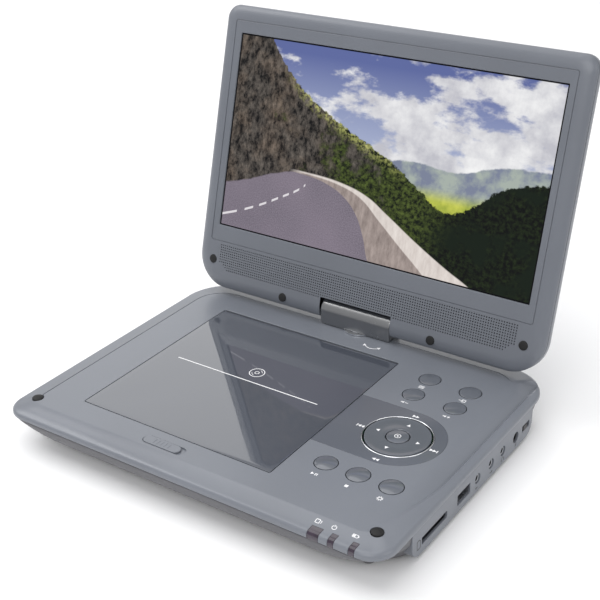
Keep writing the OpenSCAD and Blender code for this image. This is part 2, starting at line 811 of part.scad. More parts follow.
module power_switch() {
  color(black) at_base() translate([0, power_y, port_z]) difference() {
    translate([port_face - 9, -5.2, main_z - port_z]) cube([6.2, 9.6, 6]);
    translate([port_face - 6.5, -3.3, -1.1]) cube([10, 3.2 + knob_travel, 2.2]);
  }
}

module power_knob() {
  color(black) at_base() translate([0, power_y, port_z]) {
    translate([port_face - 6, -3, -0.8]) cube([6, 2.6, 1.6]);
    translate([port_face - 2.4, -4, -1.55]) cube([3.6, 4.6, 3.1]);
  }
}

// ---------------------------------------------------------------- disc loader

module loader_chassis() {
  color([0.18, 0.18, 0.19]) at_loader() difference() {
    union() {
      translate([-36, rod_y0 - 1, chassis_top - 1.5]) cube([72, 31 - rod_y0, 1.5]);
      for (x = [-36, 34.4]) translate([x, rod_y0 - 1, chassis_top - 6]) cube([1.6, 31 - rod_y0, 5]);
      // saddles that hold the ends of the rods
      for (x = [-rod_x, rod_x], y = [rod_y0, rod_y1 - 2.4])
        translate([x - 2.6, y, chassis_top - 7.4]) cube([5.2, 2.4, 7]);
      // bearing of the lead screw
      translate([screw_x - 2.6, rod_y0, chassis_top - 8.8]) cube([5.2, 2.4, 8]);
    }
    translate([0, 0, -20]) cylinder(h = 20, r = 14);
    translate([-18.8, rod_y0 + 3, -20]) cube([37.6, rod_y1 - rod_y0 - 3, 20]);
    for (x = [-rod_x, rod_x]) along_y([x, -100, rod_z], 200, rod_r);
    along_y([screw_x, -100, screw_z], 200, screw_r + running);
    for (p = DAMPERS) translate([p[0], p[1], -20]) cylinder(h = 20, r = 2.2);
  }
}

module loader_dampers() {
  color(black) at_loader() for (p = DAMPERS) translate([p[0], p[1], chassis_top - 3]) difference() {
    union() {
      cylinder(h = 1.4, r = 3.6);
      cylinder(h = 3, r = 2.1);
    }
    translate([0, 0, -1]) cylinder(h = 6, r = 1.1);
  }
}

module spindle_motor() {
  color(steel) at_loader() difference() {
    union() {
      translate([-14, -9, -18.2]) cube([28, 27, 1.2]);
      translate([0, 0, -17.1]) cylinder(h = 3.2, r = 8);
      translate([0, 0, -17.1]) cylinder(h = 4.4, r = 2.6);
      for (x = [-12, 12]) translate([x, 15.5, -17.1]) cylinder(h = 17.1 + chassis_top - 1.5, r = 1.8);
    }
    translate([0, 0, -17.6]) cylinder(h = 20, r = 1 + running);
  }
}

module spindle_hub() {
  color(slate_dark) at_loader() {
    difference() {
      translate([0, 0, -13.4]) cylinder(h = 6.4, r = 11.4);
      translate([0, 0, -13.5]) cylinder(h = 5, r = 10.4);
    }
    translate([0, 0, -7.1]) cylinder(h = 1.9, r = 13.2);
    translate([0, 0, -5.3]) cylinder(h = 2, r = hub_r);
    translate([0, 0, -3.4]) cylinder(h = 0.6, r1 = hub_r, r2 = hub_r - 1.2);
    translate([0, 0, -17.2]) cylinder(h = 10.5, r = 1);
  }
}

module guide_rods() {
  color(steel) at_loader() for (x = [-rod_x, rod_x]) along_y([x, rod_y0, rod_z], rod_y1 - rod_y0, rod_r);
}

module pickup_sled() {
  color(black) at_loader() difference() {
    union() {
      translate([-15, lens_y - 12, -17]) cube([30, 24, 8]);
      along_y([-rod_x, lens_y - sled_half, rod_z], 2 * sled_half, 2.6);
      translate([-rod_x, lens_y - sled_half, -16]) cube([4, 2 * sled_half, 3.6]);
      translate([14, lens_y - 5, rod_z - 2.8]) cube([rod_x - 14 + 2.4, 10, 5.7]);
      translate([14, lens_y - 4, screw_z - 2.4]) cube([screw_x - screw_r - 14 - 0.35, 8, 1.8]);
    }
    along_y([-rod_x, -100, rod_z], 200, rod_r + running);
    translate([rod_x - rod_r - 0.35, -200, rod_z - rod_r - 0.35]) cube([10, 400, 2 * rod_r + 0.7]);
    translate([0, lens_y, lens_seat_z]) cylinder(h = 10, r = lens_seat_r);
  }
}

module pickup_lens() {
  color([0.55, 0.62, 0.75]) at_loader() translate([0, lens_y, 0]) {
    translate([0, 0, lens_seat_z]) cylinder(h = 1.8, r = lens_seat_r);
    intersection() {
      translate([0, 0, lens_seat_z + 1.7]) cylinder(h = 4, r = lens_r);
      translate([0, 0, -11.4]) sphere(4.6, $fn = 48);
    }
  }
}

module sled_motor() {
  color(steel) at_loader() difference() {
    along_y([screw_x, rod_y1, screw_z], 16, 4.5);
    along_y([screw_x, rod_y1 - 1, screw_z], 10, screw_r + running);
  }
}

module lead_screw() {
  color(steel) at_loader() along_y([screw_x, rod_y0, screw_z], rod_y1 + 6 - rod_y0, screw_r);
}

// ---------------------------------------------------------------- trim, feet and fasteners

module front_windows() {
  color([0.28, 0.16, 0.34]) at_base() intersection() {
    difference() {
      base_body(0.05);
      base_body(wall);
    }
    window_slots(0.05);
  }
}

module base_bumpers() {
  color(black) at_base() for (s = [-1, 1]) translate([s * base_bumper[0], base_bumper[1], -base_bumper_sink])
    cylinder(h = base_bumper_sink + 0.5, r = base_bumper_r);
}

module rubber_feet() {
  color(black) at_base() for (p = FEET) translate([p[0], p[1], foot_low])
    cylinder(h = shell_low + 1 - foot_low, r = foot_r);
}

module case_screws() {
  color(steel) at_base() for (p = POSTS) translate([p[0], p[1], shell_low + 1.7]) screw(13, 1.2, 2.6, 1.5);
}

// ---------------------------------------------------------------- disc door and latch

module disc_door() {
  color(gloss_slate) at_base() {
    difference() {
      union() {
        translate([door_x0, door_y0, -door_t]) cube([door_w, door_axis_y - door_y0, door_t]);
        along_x([door_x0, door_axis_y, door_axis_z], door_w, door_roll_r);
        along_x([door_x0 - 2.8, door_axis_y, door_axis_z], door_w + 2 * 2.8, door_pin_r);
      }
      // shallow recess under the door above the hub
      translate([disc_x, disc_y, -door_t - 1]) cylinder(h = 1.9, r = 12);
    }
    // keeper for the latch
    difference() {
      translate([latch_at[0] - 4, door_y0 + 1, -7.4]) cube([8, 1.8, 5.5]);
      translate([latch_at[0] - 2.5, door_y0, -6.5]) cube([5, 4, 2.2]);
    }
  }
}

module open_latch() {
  color(slate) at_base() {
    translate([0, 0, -3.2]) linear_extrude(3.6) latch_outline(0, 0);
    translate([latch_at[0] - 14.5, latch_at[1] - 4.6, -4.4]) cube([29, 9.2, 1.3]);
    translate([latch_at[0] - 1.5, latch_at[1] + 3, -6.2]) cube([3, door_y0 - latch_at[1] - 2.4, 1.6]);
    translate([latch_at[0] - 1.5, latch_at[1] + 3, -6.2]) cube([3, 1.6, 2.4]);
  }
}

// Coil of n turns along +X from the origin, as round rings on a thin core line
module coil(n, pitch, r, wire) {
  for (i = [0:n - 1]) translate([i * pitch, 0, 0]) rotate([0, 90, 0]) rotate_extrude($fn = 32)
    translate([r, 0]) circle(wire, $fn = 16);
  translate([0, 0, r]) rotate([0, 90, 0]) cylinder(h = (n - 1) * pitch, r = wire * 0.7, $fn = 16);
}

module latch_spring() {
  color(steel) at_base() translate([latch_at[0] - 13, latch_at[1], -6.4]) coil(8, 1.1, 1.2, 0.25);
}

module door_spring() {
  color(steel) at_base() translate([door_x0 + 12, door_axis_y - 3.4, trough_low - 2.2])
    coil(6, 1.2, 1.6, 0.35);
}

// ---------------------------------------------------------------- keys

module menu_button() color(slate) at_base() key(menu_at, key_r);
module source_button() color(slate) at_base() key(source_at, key_r);
module volume_down_button() color(slate) at_base() key(volume_down_at, key_r);
module volume_up_button() color(slate) at_base() key(volume_up_at, key_r);
module play_button() color(slate) at_base() key(play_at, key_r);
module stop_button() color(slate) at_base() key(stop_at, key_r);
module setup_button() color(slate) at_base() key(setup_at, key_r);

module enter_button() {
  color(slate) at_base() translate([ring_at[0], ring_at[1], 0]) {
    translate([0, 0, -3.8]) cylinder(h = 4.3, r = enter_r);
    translate([0, 0, dome_top + key_travel + 0.3]) cylinder(h = 2, r = 1.6);
  }
}

module direction_ring() {
  color(slate) at_base() translate([ring_at[0], ring_at[1], 0]) {
    difference() {
      translate([0, 0, -1.6]) cylinder(h = 2.1, r = ring_r, $fn = 128);
      translate([0, 0, -5]) cylinder(h = 10, r = enter_r + enter_gap);
    }
    for (a = [0:90:270]) rotate(a) translate([ring_dome_r, 0, dome_top + 1.05])
      cylinder(h = -1.6 - dome_top - 1, r = 1.4);
    // lugs that hang on the carrier's other two pins
    for (a = [90, 270]) rotate(a) difference() {
      translate([bracket_r, -1.2, rock_z - 0.9]) cube([1, 2.4, -1.5 - rock_z + 0.9]);
      along_x([0, 0, rock_z], 20, rock_pin_r + running);
    }
  }
}

module ring_carrier() {
  color(slate_dark) at_base() translate([ring_at[0], ring_at[1], rock_z]) difference() {
    union() {
      translate([0, 0, -rock_pin_r]) cylinder(h = 2 * rock_pin_r, r = bracket_r - 0.7);
      for (a = [0:90:270]) rotate(a) along_x([8, 0, 0], bracket_r + 0.9 - 8, rock_pin_r);
    }
    translate([0, 0, -2]) cylinder(h = 4, r = enter_r + enter_gap + 0.1);
  }
}

screen_bezel();
screen_back_cover();
lcd_panel();
lcd_backlight();
display_board();
speaker_left();
speaker_right();
bezel_bumpers();
hinge_arm_left();
hinge_arm_right();
lid_screws();
hinge_front_cover();
hinge_rear_cover();
hinge_frame();
hinge_pins();
swivel_post();
turntable_disc();
retaining_clip();
top_cover();
bottom_shell();
swivel_plate();
control_inlay();
keypad_board();
dome_switches();
main_board();
battery_pack();
dc_jack();
av_jacks();
usb_port();
card_slot();
power_switch();
loader_chassis();
loader_dampers();
spindle_motor();
guide_rods();
sled_motor();
front_windows();
base_bumpers();
rubber_feet();
case_screws();
ring_trim();
latch_spring();
door_spring();
power_knob();
disc_door();
open_latch();
menu_button();
source_button();
volume_down_button();
volume_up_button();
play_button();
stop_button();
setup_button();
enter_button();
direction_ring();
ring_carrier();
spindle_hub();
pickup_sled();
pickup_lens();
lead_screw();
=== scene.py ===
"""The looks of the portable DVD player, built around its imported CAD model.

Each piece is drawn in millimetres in the frame of the half that it belongs to, and is then placed
in the row frame, in metres. The base frame's origin is on the base's top plane at the hinge's
front line. The display frame has x across, y up the display from the tilt axis, and z out of the
screen.
"""
import json
import math

import bmesh
import bpy
from mathutils import Matrix, Vector


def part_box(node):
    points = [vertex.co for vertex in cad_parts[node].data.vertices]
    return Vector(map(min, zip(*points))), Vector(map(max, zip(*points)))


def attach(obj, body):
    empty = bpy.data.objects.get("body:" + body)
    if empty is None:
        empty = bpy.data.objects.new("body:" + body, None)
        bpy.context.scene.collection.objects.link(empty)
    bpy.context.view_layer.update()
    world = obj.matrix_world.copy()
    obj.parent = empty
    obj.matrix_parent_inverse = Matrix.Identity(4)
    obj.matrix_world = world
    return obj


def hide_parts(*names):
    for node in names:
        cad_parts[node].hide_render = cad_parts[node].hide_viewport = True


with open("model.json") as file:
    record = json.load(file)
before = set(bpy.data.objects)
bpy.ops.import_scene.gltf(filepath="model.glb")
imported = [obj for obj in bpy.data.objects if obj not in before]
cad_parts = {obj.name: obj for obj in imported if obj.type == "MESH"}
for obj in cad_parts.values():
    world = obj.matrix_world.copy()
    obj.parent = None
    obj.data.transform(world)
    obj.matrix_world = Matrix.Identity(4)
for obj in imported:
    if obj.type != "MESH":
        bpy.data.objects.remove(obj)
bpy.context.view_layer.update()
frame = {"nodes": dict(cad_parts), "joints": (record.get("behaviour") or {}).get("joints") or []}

# ------------------------------------------------------------------ sizes, in millimetres
MM = 0.001
PIVOT_Y = 7.0
PIVOT_Z = 9.3
LID_ANGLE = 74.2
BASE_X = 127.0
BASE_FRONT = -178.0
BASE_REAR = 17.2
FRONT_R = 14.0
REAR_R = 24.0
WALL = 2.0
SEAM_Z = -6.3
SHELL_LOW = -24.2
PORT_Y0 = -152.0
PORT_Y1 = -6.0
WELL_FLOOR = -7.5
LEDGE_Z = -2.8
WELL_R = 62.5
DOOR_GAP = 0.4
KEY_GAP = 0.42
RING_R = 18.4
ENTER_R = 6.3
INLAY_HALF = 27.0
LATCH_TRAVEL = 3.0

LID_X = 125.0
LID_TOP = 178.5
LID_LOW = -5.9
LID_HALF = 8.0
LID_BACK = 7.85
LID_SPLIT = 3.0
SCREEN_X = 111.35
SCREEN_Y0 = 36.0
SCREEN_Y1 = 161.3
SEAM_X = 116.0
SEAM_Y0 = 25.3
SEAM_Y1 = 169.2
GLASS_Z = 6.5
NOTCH_X = 25.8
NOTCH_Y = 7.15
BARREL_HALF = 25.2
BARREL_R = 7.0

GRILLE_X = 109.0
GRILLE_Y0 = 5.4
GRILLE_Y1 = 24.4
HOLE_PITCH = 1.62
HOLE_R = 0.46
INK = 0.03

nodes = frame["nodes"]
joints = {j["name"]: j for j in frame["joints"]}
tilt = Vector(joints["display_tilt"]["pos_m"]) / MM
base_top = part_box("top_cover")[1].z / MM
BASE = Matrix.Scale(MM, 4) @ Matrix.Translation((0, tilt.y - PIVOT_Y, base_top))
HEAD = BASE @ Matrix.Translation((0, PIVOT_Y, 0))
LID = Matrix.Scale(MM, 4) @ Matrix.Translation(tilt) @ Matrix.Rotation(math.radians(LID_ANGLE), 4, "X")


def local_box(node, matrix=BASE):
    """Lowest and highest corner of a CAD node in a half's own frame, in millimetres."""
    back = matrix.inverted()
    points = [back @ v.co for v in nodes[node].data.vertices]
    low = Vector([min(p[i] for p in points) for i in range(3)])
    high = Vector([max(p[i] for p in points) for i in range(3)])
    return low, high


def centre_of(node):
    low, high = local_box(node)
    return (low + high) / 2


# ------------------------------------------------------------------ materials
class Graph:
    """A short way to write a node tree: each call adds a node and returns its first output."""

    def __init__(self, material):
        self.tree = material.node_tree
        self.x = 0

    def node(self, kind, inputs=(), **settings):
        n = self.tree.nodes.new(kind)
        self.x -= 40
        n.location = (self.x, self.x % 400)
        for name, value in settings.items():
            setattr(n, name, value)
        for key, value in dict(inputs).items():
            self.put(n.inputs[key], value)
        return n

    def put(self, socket, value):
        if isinstance(value, bpy.types.NodeSocket):
            self.tree.links.new(value, socket)
        elif value is not None:
            socket.default_value = value

    def math(self, operation, a, b=None):
        return self.node("ShaderNodeMath", {0: a, 1: b}, operation=operation).outputs[0]

    def mix(self, part, a, b):
        n = self.node("ShaderNodeMix", data_type="RGBA")
        self.put(n.inputs[0], part)
        self.put(n.inputs[6], a)
        self.put(n.inputs[7], b)
        return n.outputs[2]

    def noise(self, vector, scale, detail=2.0, rough=0.5, stretch=None):
        if stretch:
            vector = self.node("ShaderNodeMapping", {"Vector": vector, "Scale": stretch}).outputs[0]
        made = {"Vector": vector, "Scale": scale, "Detail": detail, "Roughness": rough}
        return self.node("ShaderNodeTexNoise", made).outputs[0]

    def span(self, value, low, high, to_low=0.0, to_high=1.0, smooth=False):
        n = self.node("ShaderNodeMapRange", interpolation_type="SMOOTHSTEP" if smooth else "LINEAR")
        for i, v in enumerate((value, low, high, to_low, to_high)):
            self.put(n.inputs[i], v)
        return n.outputs[0]

    def fade(self, value, low, high, a, b):
        """Colour a where the value is low, and colour b where it is high."""
        return self.mix(self.span(value, low, high), a, b)

    def look(self, shader, colour, rough, height=None, depth=0.0):
        """Colour, roughness and, when a height is given, a bump with a depth in millimetres."""
        self.put(shader.inputs["Base Color"], colour)
        self.put(shader.inputs["Roughness"], rough)
        if height:
            bump = self.node("ShaderNodeBump", {"Height": height, "Distance": depth * MM})
            self.put(shader.inputs["Normal"], bump.outputs[0])


def start(name, **sockets):
    """A material with a Principled shader, its graph, the shader and object coordinates."""
    material = bpy.data.materials.new(name)
    material.use_nodes = True
    shader = material.node_tree.nodes["Principled BSDF"]
    graph = Graph(material)
    for key, value in sockets.items():
        shader.inputs[key.replace("_", " ")].default_value = value
    at = graph.node("ShaderNodeTexCoord").outputs["Object"]
    return material, graph, shader, at


def rgb(r, g, b):
    """Linear colour of an sRGB colour with channels from 0 to 255."""
    return tuple(pow((c / 255 + 0.055) / 1.055, 2.4) if c > 10 else c / 3295 for c in (r, g, b)) + (1.0,)


def scaled(colour, by):
    return tuple(c * by for c in colour[:3]) + (1.0,)


def moulded(name, colour, rough, grain=0.02, coat=0.0, coat_rough=0.1, drift=0.05, ior=1.5):
    """Moulded plastic: a fine spark-eroded grain, slow drifts of tone, and faint handling marks."""
    material, g, shader, at = start(name, IOR=ior, Coat_Weight=coat, Coat_Roughness=coat_rough)
    cell = 1400.0
    slow = g.noise(at, 14.0, 3.0)
    base = g.fade(slow, 0.3, 0.7, scaled(colour, 1 - drift), scaled(colour, 1 + drift))
    speck = g.span(g.noise(at, cell * 0.45, 1.0), 0.35, 0.65)
    specked = g.mix(g.math("MULTIPLY", speck, 0.03), base, scaled(colour, 0.7))
    marks = g.noise(at, 90.0, 4.0, 0.6, stretch=(1, 0.25, 1))
    worn = g.math("ADD", g.span(slow, 0.3, 0.7, -0.03, 0.03), g.span(marks, 0.3, 0.8, -0.015, 0.02))
    g.look(shader, specked, g.math("ADD", worn, rough), g.noise(at, cell, 2.0, 0.6), grain)
    return material


def metal(name, colour, rough, brush=0.15):
    """Drawn or rolled steel, with fine lines along its length."""
    material, g, shader, at = start(name, Metallic=1.0)
    lines = g.noise(at, 900.0, 3.0, 0.6, stretch=(0.06, 1, 1))
    stain = g.noise(at, 160.0, 3.0)
    stained = g.fade(stain, 0.3, 0.7, scaled(colour, 0.85), colour)
    g.look(shader, stained, g.span(lines, 0.3, 0.7, rough - brush / 2, rough + brush / 2), lines, 0.01)
    return material


def rubber(name, colour):
    material, g, shader, at = start(name, IOR=1.45)
    grain = g.noise(at, 2200.0, 3.0, 0.7)
    mottled = g.mix(grain, scaled(colour, 0.7), scaled(colour, 1.4))
    g.look(shader, mottled, g.span(grain, 0.3, 0.7, 0.55, 0.75), grain, 0.04)
    return material


def circuit_board(name):
    """Green solder mask over copper tracks, with bare pads."""
    material, g, shader, at = start(name)
    bricks = g.node("ShaderNodeTexBrick", {"Vector": at, "Scale": 190.0, "Mortar Size": 0.03})
    tracks = bricks.outputs["Fac"]
    pads = g.node("ShaderNodeTexVoronoi", {"Vector": at, "Scale": 420.0}).outputs["Distance"]
    pad = g.math("LESS_THAN", pads, 0.16)
    mask = g.mix(tracks, rgb(18, 92, 58), rgb(40, 128, 78))
    rough = g.span(g.noise(at, 500.0), 0.3, 0.7, 0.25, 0.45)
    g.look(shader, g.mix(pad, mask, rgb(214, 178, 96)), rough, tracks, 0.03)
    g.put(shader.inputs["Metallic"], g.math("MULTIPLY", pad, 0.9))
    return material


def paint(name, colour):
    """Printed ink: a slightly uneven film."""
    material, g, shader, at = start(name)
    film = g.noise(at, 3000.0, 2.0)
    inked = g.mix(film, scaled(colour, 0.88), colour)
    g.look(shader, inked, g.span(film, 0.3, 0.7, 0.4, 0.55), film, 0.005)
    return material


def tinted(name, colour):
    """Dark translucent plastic of the receiver and lamp windows."""
    material, g, shader, at = start(name, Coat_Weight=0.6, Coat_Roughness=0.05)
    depth = g.noise(at, 300.0, 2.0)
    clouded = g.mix(depth, scaled(colour, 0.5), scaled(colour, 1.6))
    g.look(shader, clouded, g.span(depth, 0.3, 0.7, 0.08, 0.2))
    return material


# Points of the picture's outlines: [across, up] from the screen's lower left corner, both from 0 to 1
RIDGE = [(0.0, 1.3), (0.1, 1.02), (0.19, 0.83), (0.3, 0.7), (0.42, 0.6), (0.55, 0.5), (0.64, 0.4),
         (0.73, 0.325), (0.8, 0.38), (0.88, 0.49), (1.0, 0.545)]
FAR_RIDGE = [(0.0, 0.4), (0.5, 0.5), (0.6, 0.53), (0.74, 0.52), (0.86, 0.58), (1.0, 0.6)]
CLIFF_FOOT = [(0.0, 0.23), (0.08, 0.27), (0.17, 0.33), (0.27, 0.37), (0.6, 0.36), (1.0, 0.36)]
WALL_TOP = [(0.0, 0.36), (0.28, 0.37), (0.4, 0.355), (0.48, 0.32), (0.55, 0.255), (0.65, 0.155),
            (0.75, 0.065), (0.83, 0.0), (1.0, -0.2)]
WALL_FACE = [(0.0, 0.35), (0.28, 0.362), (0.4, 0.34), (0.46, 0.305), (0.53, 0.215), (0.6, 0.12),
             (0.69, 0.0), (0.8, -0.2), (1.0, -0.2)]
ROAD_EDGE = [(0.0, 0.34), (0.28, 0.355), (0.36, 0.33), (0.41, 0.29), (0.45, 0.23), (0.485, 0.13),
             (0.515, 0.0), (0.6, -0.2), (1.0, -0.2)]
ROAD_LINE = [(0.0, 0.058), (0.1, 0.125), (0.2, 0.215), (0.27, 0.29), (0.29, 0.33), (0.3, 0.36), (1.0, 0.6)]


class Picture(Graph):
    """The node tree of the display's picture, with the way across it and up it, both from 0 to 1."""

    def __init__(self, material):
        super().__init__(material)
        uv = self.node("ShaderNodeUVMap", uv_map="picture").outputs[0]
        parts = self.node("ShaderNodeSeparateXYZ", {"Vector": uv}).outputs
        self.u, self.v = parts[0], parts[1]
        # the picture is about 1.78 times as wide as it is high, so noise is stretched to match
        self.wide = self.node("ShaderNodeMapping", {"Vector": uv, "Scale": (1.78, 1.0, 1.0)}).outputs[0]

    def outline(self, points, rough=0.0, scale=20.0):
        """How far a point lies below the outline, up being positive, with a rough edge."""
        curve = self.node("ShaderNodeFloatCurve", {"Value": self.u})
        line = curve.mapping.curves[0]
        curve.mapping.use_clip = False
        for i, (a, b) in enumerate(points):
            if i < 2:
                line.points[i].location = (a, b)
            else:
                line.points.new(a, b)
        curve.mapping.update()
        edge = curve.outputs[0]
        if rough:
            shake = self.span(self.noise(self.wide, scale, 5.0, 0.65), 0.25, 0.75, -rough, rough)
            edge = self.math("ADD", edge, shake)
        return self.math("SUBTRACT", edge, self.v)

    def inside(self, distance, soft=0.004):
        return self.span(distance, -soft, soft)


def paint_sky(g):
    """Sky with banks of cloud."""
    sky = g.fade(g.v, 0.5, 0.95, rgb(176, 186, 214), rgb(96, 108, 162))
    puffs = g.noise(g.wide, 3.2, 8.0, 0.58, stretch=(1.0, 1.9, 1.0))
    bank = g.math("ADD", puffs, g.span(g.v, 0.45, 0.95, 0.17, -0.02))
    bank = g.math("ADD", bank, g.span(g.u, 0.2, 0.9, -0.08, 0.06))
    shade = g.noise(g.wide, 6.0, 6.0, 0.6)
    cloud = g.fade(shade, 0.35, 0.7, rgb(196, 196, 204), rgb(250, 250, 250))
    return g.mix(g.span(bank, 0.49, 0.6, smooth=True), sky, cloud)


def paint_valley(g, behind):
    """Far hills, and the bright meadow below them."""
    far = g.noise(g.wide, 9.0, 6.0, 0.6)
    hills = g.fade(far, 0.4, 0.6, rgb(126, 134, 156), rgb(170, 180, 172))
    hilly = g.mix(g.inside(g.outline(FAR_RIDGE, 0.006)), behind, hills)
    meadow = g.fade(far, 0.35, 0.65, rgb(148, 164, 62), rgb(210, 214, 92))
    return g.mix(g.span(g.v, 0.44, 0.36, smooth=True), hilly, meadow)


def paint_slope(g, behind):
    """The near slope: rock at the left that turns into scrub, and trees at the right."""
    broad = g.noise(g.wide, 5.0, 6.0, 0.6)
    crag = g.noise(g.wide, 26.0, 10.0, 0.78, stretch=(1.0, 0.55, 1.0))
    rock = g.fade(crag, 0.42, 0.7, rgb(14, 14, 14), rgb(126, 118, 110))
    earth = g.fade(crag, 0.4, 0.66, rgb(30, 26, 22), rgb(144, 126, 110))
    rock = g.fade(broad, 0.45, 0.7, rock, earth)
    leaf = g.noise(g.wide, 42.0, 8.0, 0.72)
    grass = g.fade(leaf, 0.42, 0.7, rgb(16, 22, 11), rgb(98, 114, 52))
    trees = g.fade(leaf, 0.44, 0.76, rgb(8, 11, 8), rgb(46, 60, 30))
    trees = g.fade(g.noise(g.wide, 7.0, 4.0), 0.48, 0.6, trees, scaled(rgb(30, 44, 28), 0.5))
    wild = g.math("ADD", g.span(g.u, 0.1, 0.62, -0.35, 0.4), g.span(broad, 0.3, 0.7, -0.35, 0.35))
    slope = g.fade(wild, -0.06, 0.14, rock, grass)
    woods = g.math("ADD", g.u, g.span(g.v, 0.0, 0.4, 0.08, 0.0))
    slope = g.mix(g.span(woods, 0.64, 0.8, smooth=True), slope, trees)
    ridge = g.outline(RIDGE, 0.014, 34.0)
    rim_light = g.fade(ridge, 0.0, 0.06, rgb(196, 196, 120), slope)
    sunny = g.math("MULTIPLY", g.span(g.u, 0.16, 0.24), g.span(g.u, 0.6, 0.5))
    slope = g.mix(g.math("MULTIPLY", sunny, g.span(leaf, 0.45, 0.6)), slope, rim_light)
    return g.mix(g.inside(ridge), behind, slope)


def paint_road(g):
    """Tarmac with a dashed line along its middle."""
    tar = g.noise(g.wide, 160.0, 4.0, 0.8)
    shine = g.span(g.noise(g.wide, 2.5, 2.0), 0.3, 0.7)
    road = g.fade(tar, 0.3, 0.7, rgb(86, 80, 92), rgb(146, 138, 150))
    road = g.mix(g.math("MULTIPLY", shine, 0.5), road, rgb(150, 138, 152))
    wave = g.math("SINE", g.math("MULTIPLY", g.math("POWER", g.u, 1.5), 260.0))
    dash = g.math("GREATER_THAN", wave, -0.2)
    on_line = g.math("LESS_THAN", g.math("ABSOLUTE", g.outline(ROAD_LINE)), 0.006)
    line = g.math("MULTIPLY", g.math("MULTIPLY", on_line, dash), g.math("LESS_THAN", g.u, 0.28))
    return g.mix(line, road, rgb(226, 222, 226))


def paint_wall(g, behind):
    """The low wall beside the road: a light top over a shaded face."""
    stone = g.noise(g.wide, 34.0, 6.0, 0.7, stretch=(1.0, 0.3, 1.0))
    near = g.span(g.u, 0.22, 0.27)
    top = g.fade(stone, 0.3, 0.7, rgb(206, 196, 190), rgb(238, 230, 224))
    face = g.fade(stone, 0.3, 0.7, rgb(128, 116, 112), rgb(182, 168, 162))
    colour = behind
    for points, stones in ((WALL_TOP, top), (WALL_FACE, face)):
        shown = g.math("MULTIPLY", g.inside(g.outline(points), 0.003), near)
        colour = g.mix(shown, colour, stones)
    return colour


def screen_picture():
    """An invented mountain road, painted with noise and a few outlines, as the display shows it."""
    material, _, shader, _ = start("screen_picture", Base_Color=(0.003, 0.003, 0.004, 1), Roughness=0.16)
    shader.inputs["Specular IOR Level"].default_value = 0.1
    g = Picture(material)
    colour = paint_wall(g, paint_slope(g, paint_valley(g, paint_sky(g))))
    below_cliff = g.inside(g.outline(CLIFF_FOOT, 0.004))
    on_road = g.math("MULTIPLY", below_cliff, g.inside(g.outline(ROAD_EDGE), 0.002))
    colour = g.mix(on_road, colour, paint_road(g))
    # the dark edge of the liquid crystal
    edge_u = g.math("MINIMUM", g.u, g.math("SUBTRACT", 1.0, g.u))
    edge_v = g.math("MINIMUM", g.v, g.math("SUBTRACT", 1.0, g.v))
    lit = g.math("MULTIPLY", g.span(edge_u, 0.0035, 0.0045), g.span(edge_v, 0.006, 0.008))
    g.put(shader.inputs["Emission Color"], g.mix(lit, (0, 0, 0, 1), colour))
    shader.inputs["Emission Strength"].default_value = 0.95
    return material


SLATE = rgb(112, 116, 124)
mats = {
    "slate_plastic": moulded("slate_plastic", SLATE, 0.34, coat=0.15, coat_rough=0.2),
    "bezel_plastic": moulded("bezel_plastic", rgb(104, 108, 116), 0.36, coat=0.1, coat_rough=0.25),
    "back_plastic": moulded("back_plastic", rgb(100, 104, 112), 0.3, grain=0.006, coat=0.25,
                            coat_rough=0.12),
    "barrel_plastic": moulded("barrel_plastic", rgb(52, 55, 61), 0.26, grain=0.003, coat=0.7,
                              coat_rough=0.2, ior=2.7),
    "key_plastic": moulded("key_plastic", rgb(92, 96, 104), 0.12, grain=0.003, coat=0.6, coat_rough=0.05),
    "inlay_gloss": moulded("inlay_gloss", rgb(88, 92, 101), 0.22, grain=0.004, coat=0.35, coat_rough=0.1),
    "dark_plastic": moulded("dark_plastic", rgb(92, 92, 96), 0.42, grain=0.03),
    "gloss_plastic": moulded("gloss_plastic", rgb(74, 78, 87), 0.05, grain=0.001, coat=0.8, coat_rough=0.02,
                             drift=0.03),
    # the same near-black is also painted shade on the notch walls and in the card slot
    "black_plastic": moulded("black_plastic", rgb(30, 30, 32), 0.4),
    "light_unit": moulded("light_unit", rgb(206, 208, 212), 0.35),
    "cell_wrap": moulded("cell_wrap", rgb(40, 72, 132), 0.25, grain=0.01, drift=0.1),
    "steel": metal("steel", rgb(196, 198, 202), 0.32),
    "chrome_trim": metal("chrome_trim", rgb(232, 234, 238), 0.14, brush=0.08),
    "board": circuit_board("board"),
    "rubber": rubber("rubber", rgb(20, 20, 21)),
    "speaker_cloth": rubber("speaker_cloth", rgb(16, 16, 17)),
    "window": tinted("window", rgb(44, 32, 48)),
    "lens": tinted("lens", rgb(96, 120, 180)),
    "print": paint("print", rgb(244, 244, 246)),
    "dark_print": paint("dark_print", rgb(34, 35, 38)),
    "screen_glass": screen_picture(),
}


# ------------------------------------------------------------------ mesh helpers
def arc(cx, cy, r, start_deg, end_deg, steps):
    turn = (end_deg - start_deg) / steps
    angles = [math.radians(start_deg + turn * i) for i in range(steps + 1)]
    return [(cx + r * math.cos(a), cy + r * math.sin(a)) for a in angles]


def circle(cx, cy, r, steps=64):
    angles = [2 * math.pi * i / steps for i in range(steps)]
    return [(cx + r * math.cos(a), cy + r * math.sin(a)) for a in angles]


def straight(a, b, steps):
    """The points between a and b, without either."""
    return [(a[0] + (b[0] - a[0]) * i / steps, a[1] + (b[1] - a[1]) * i / steps) for i in range(1, steps)]


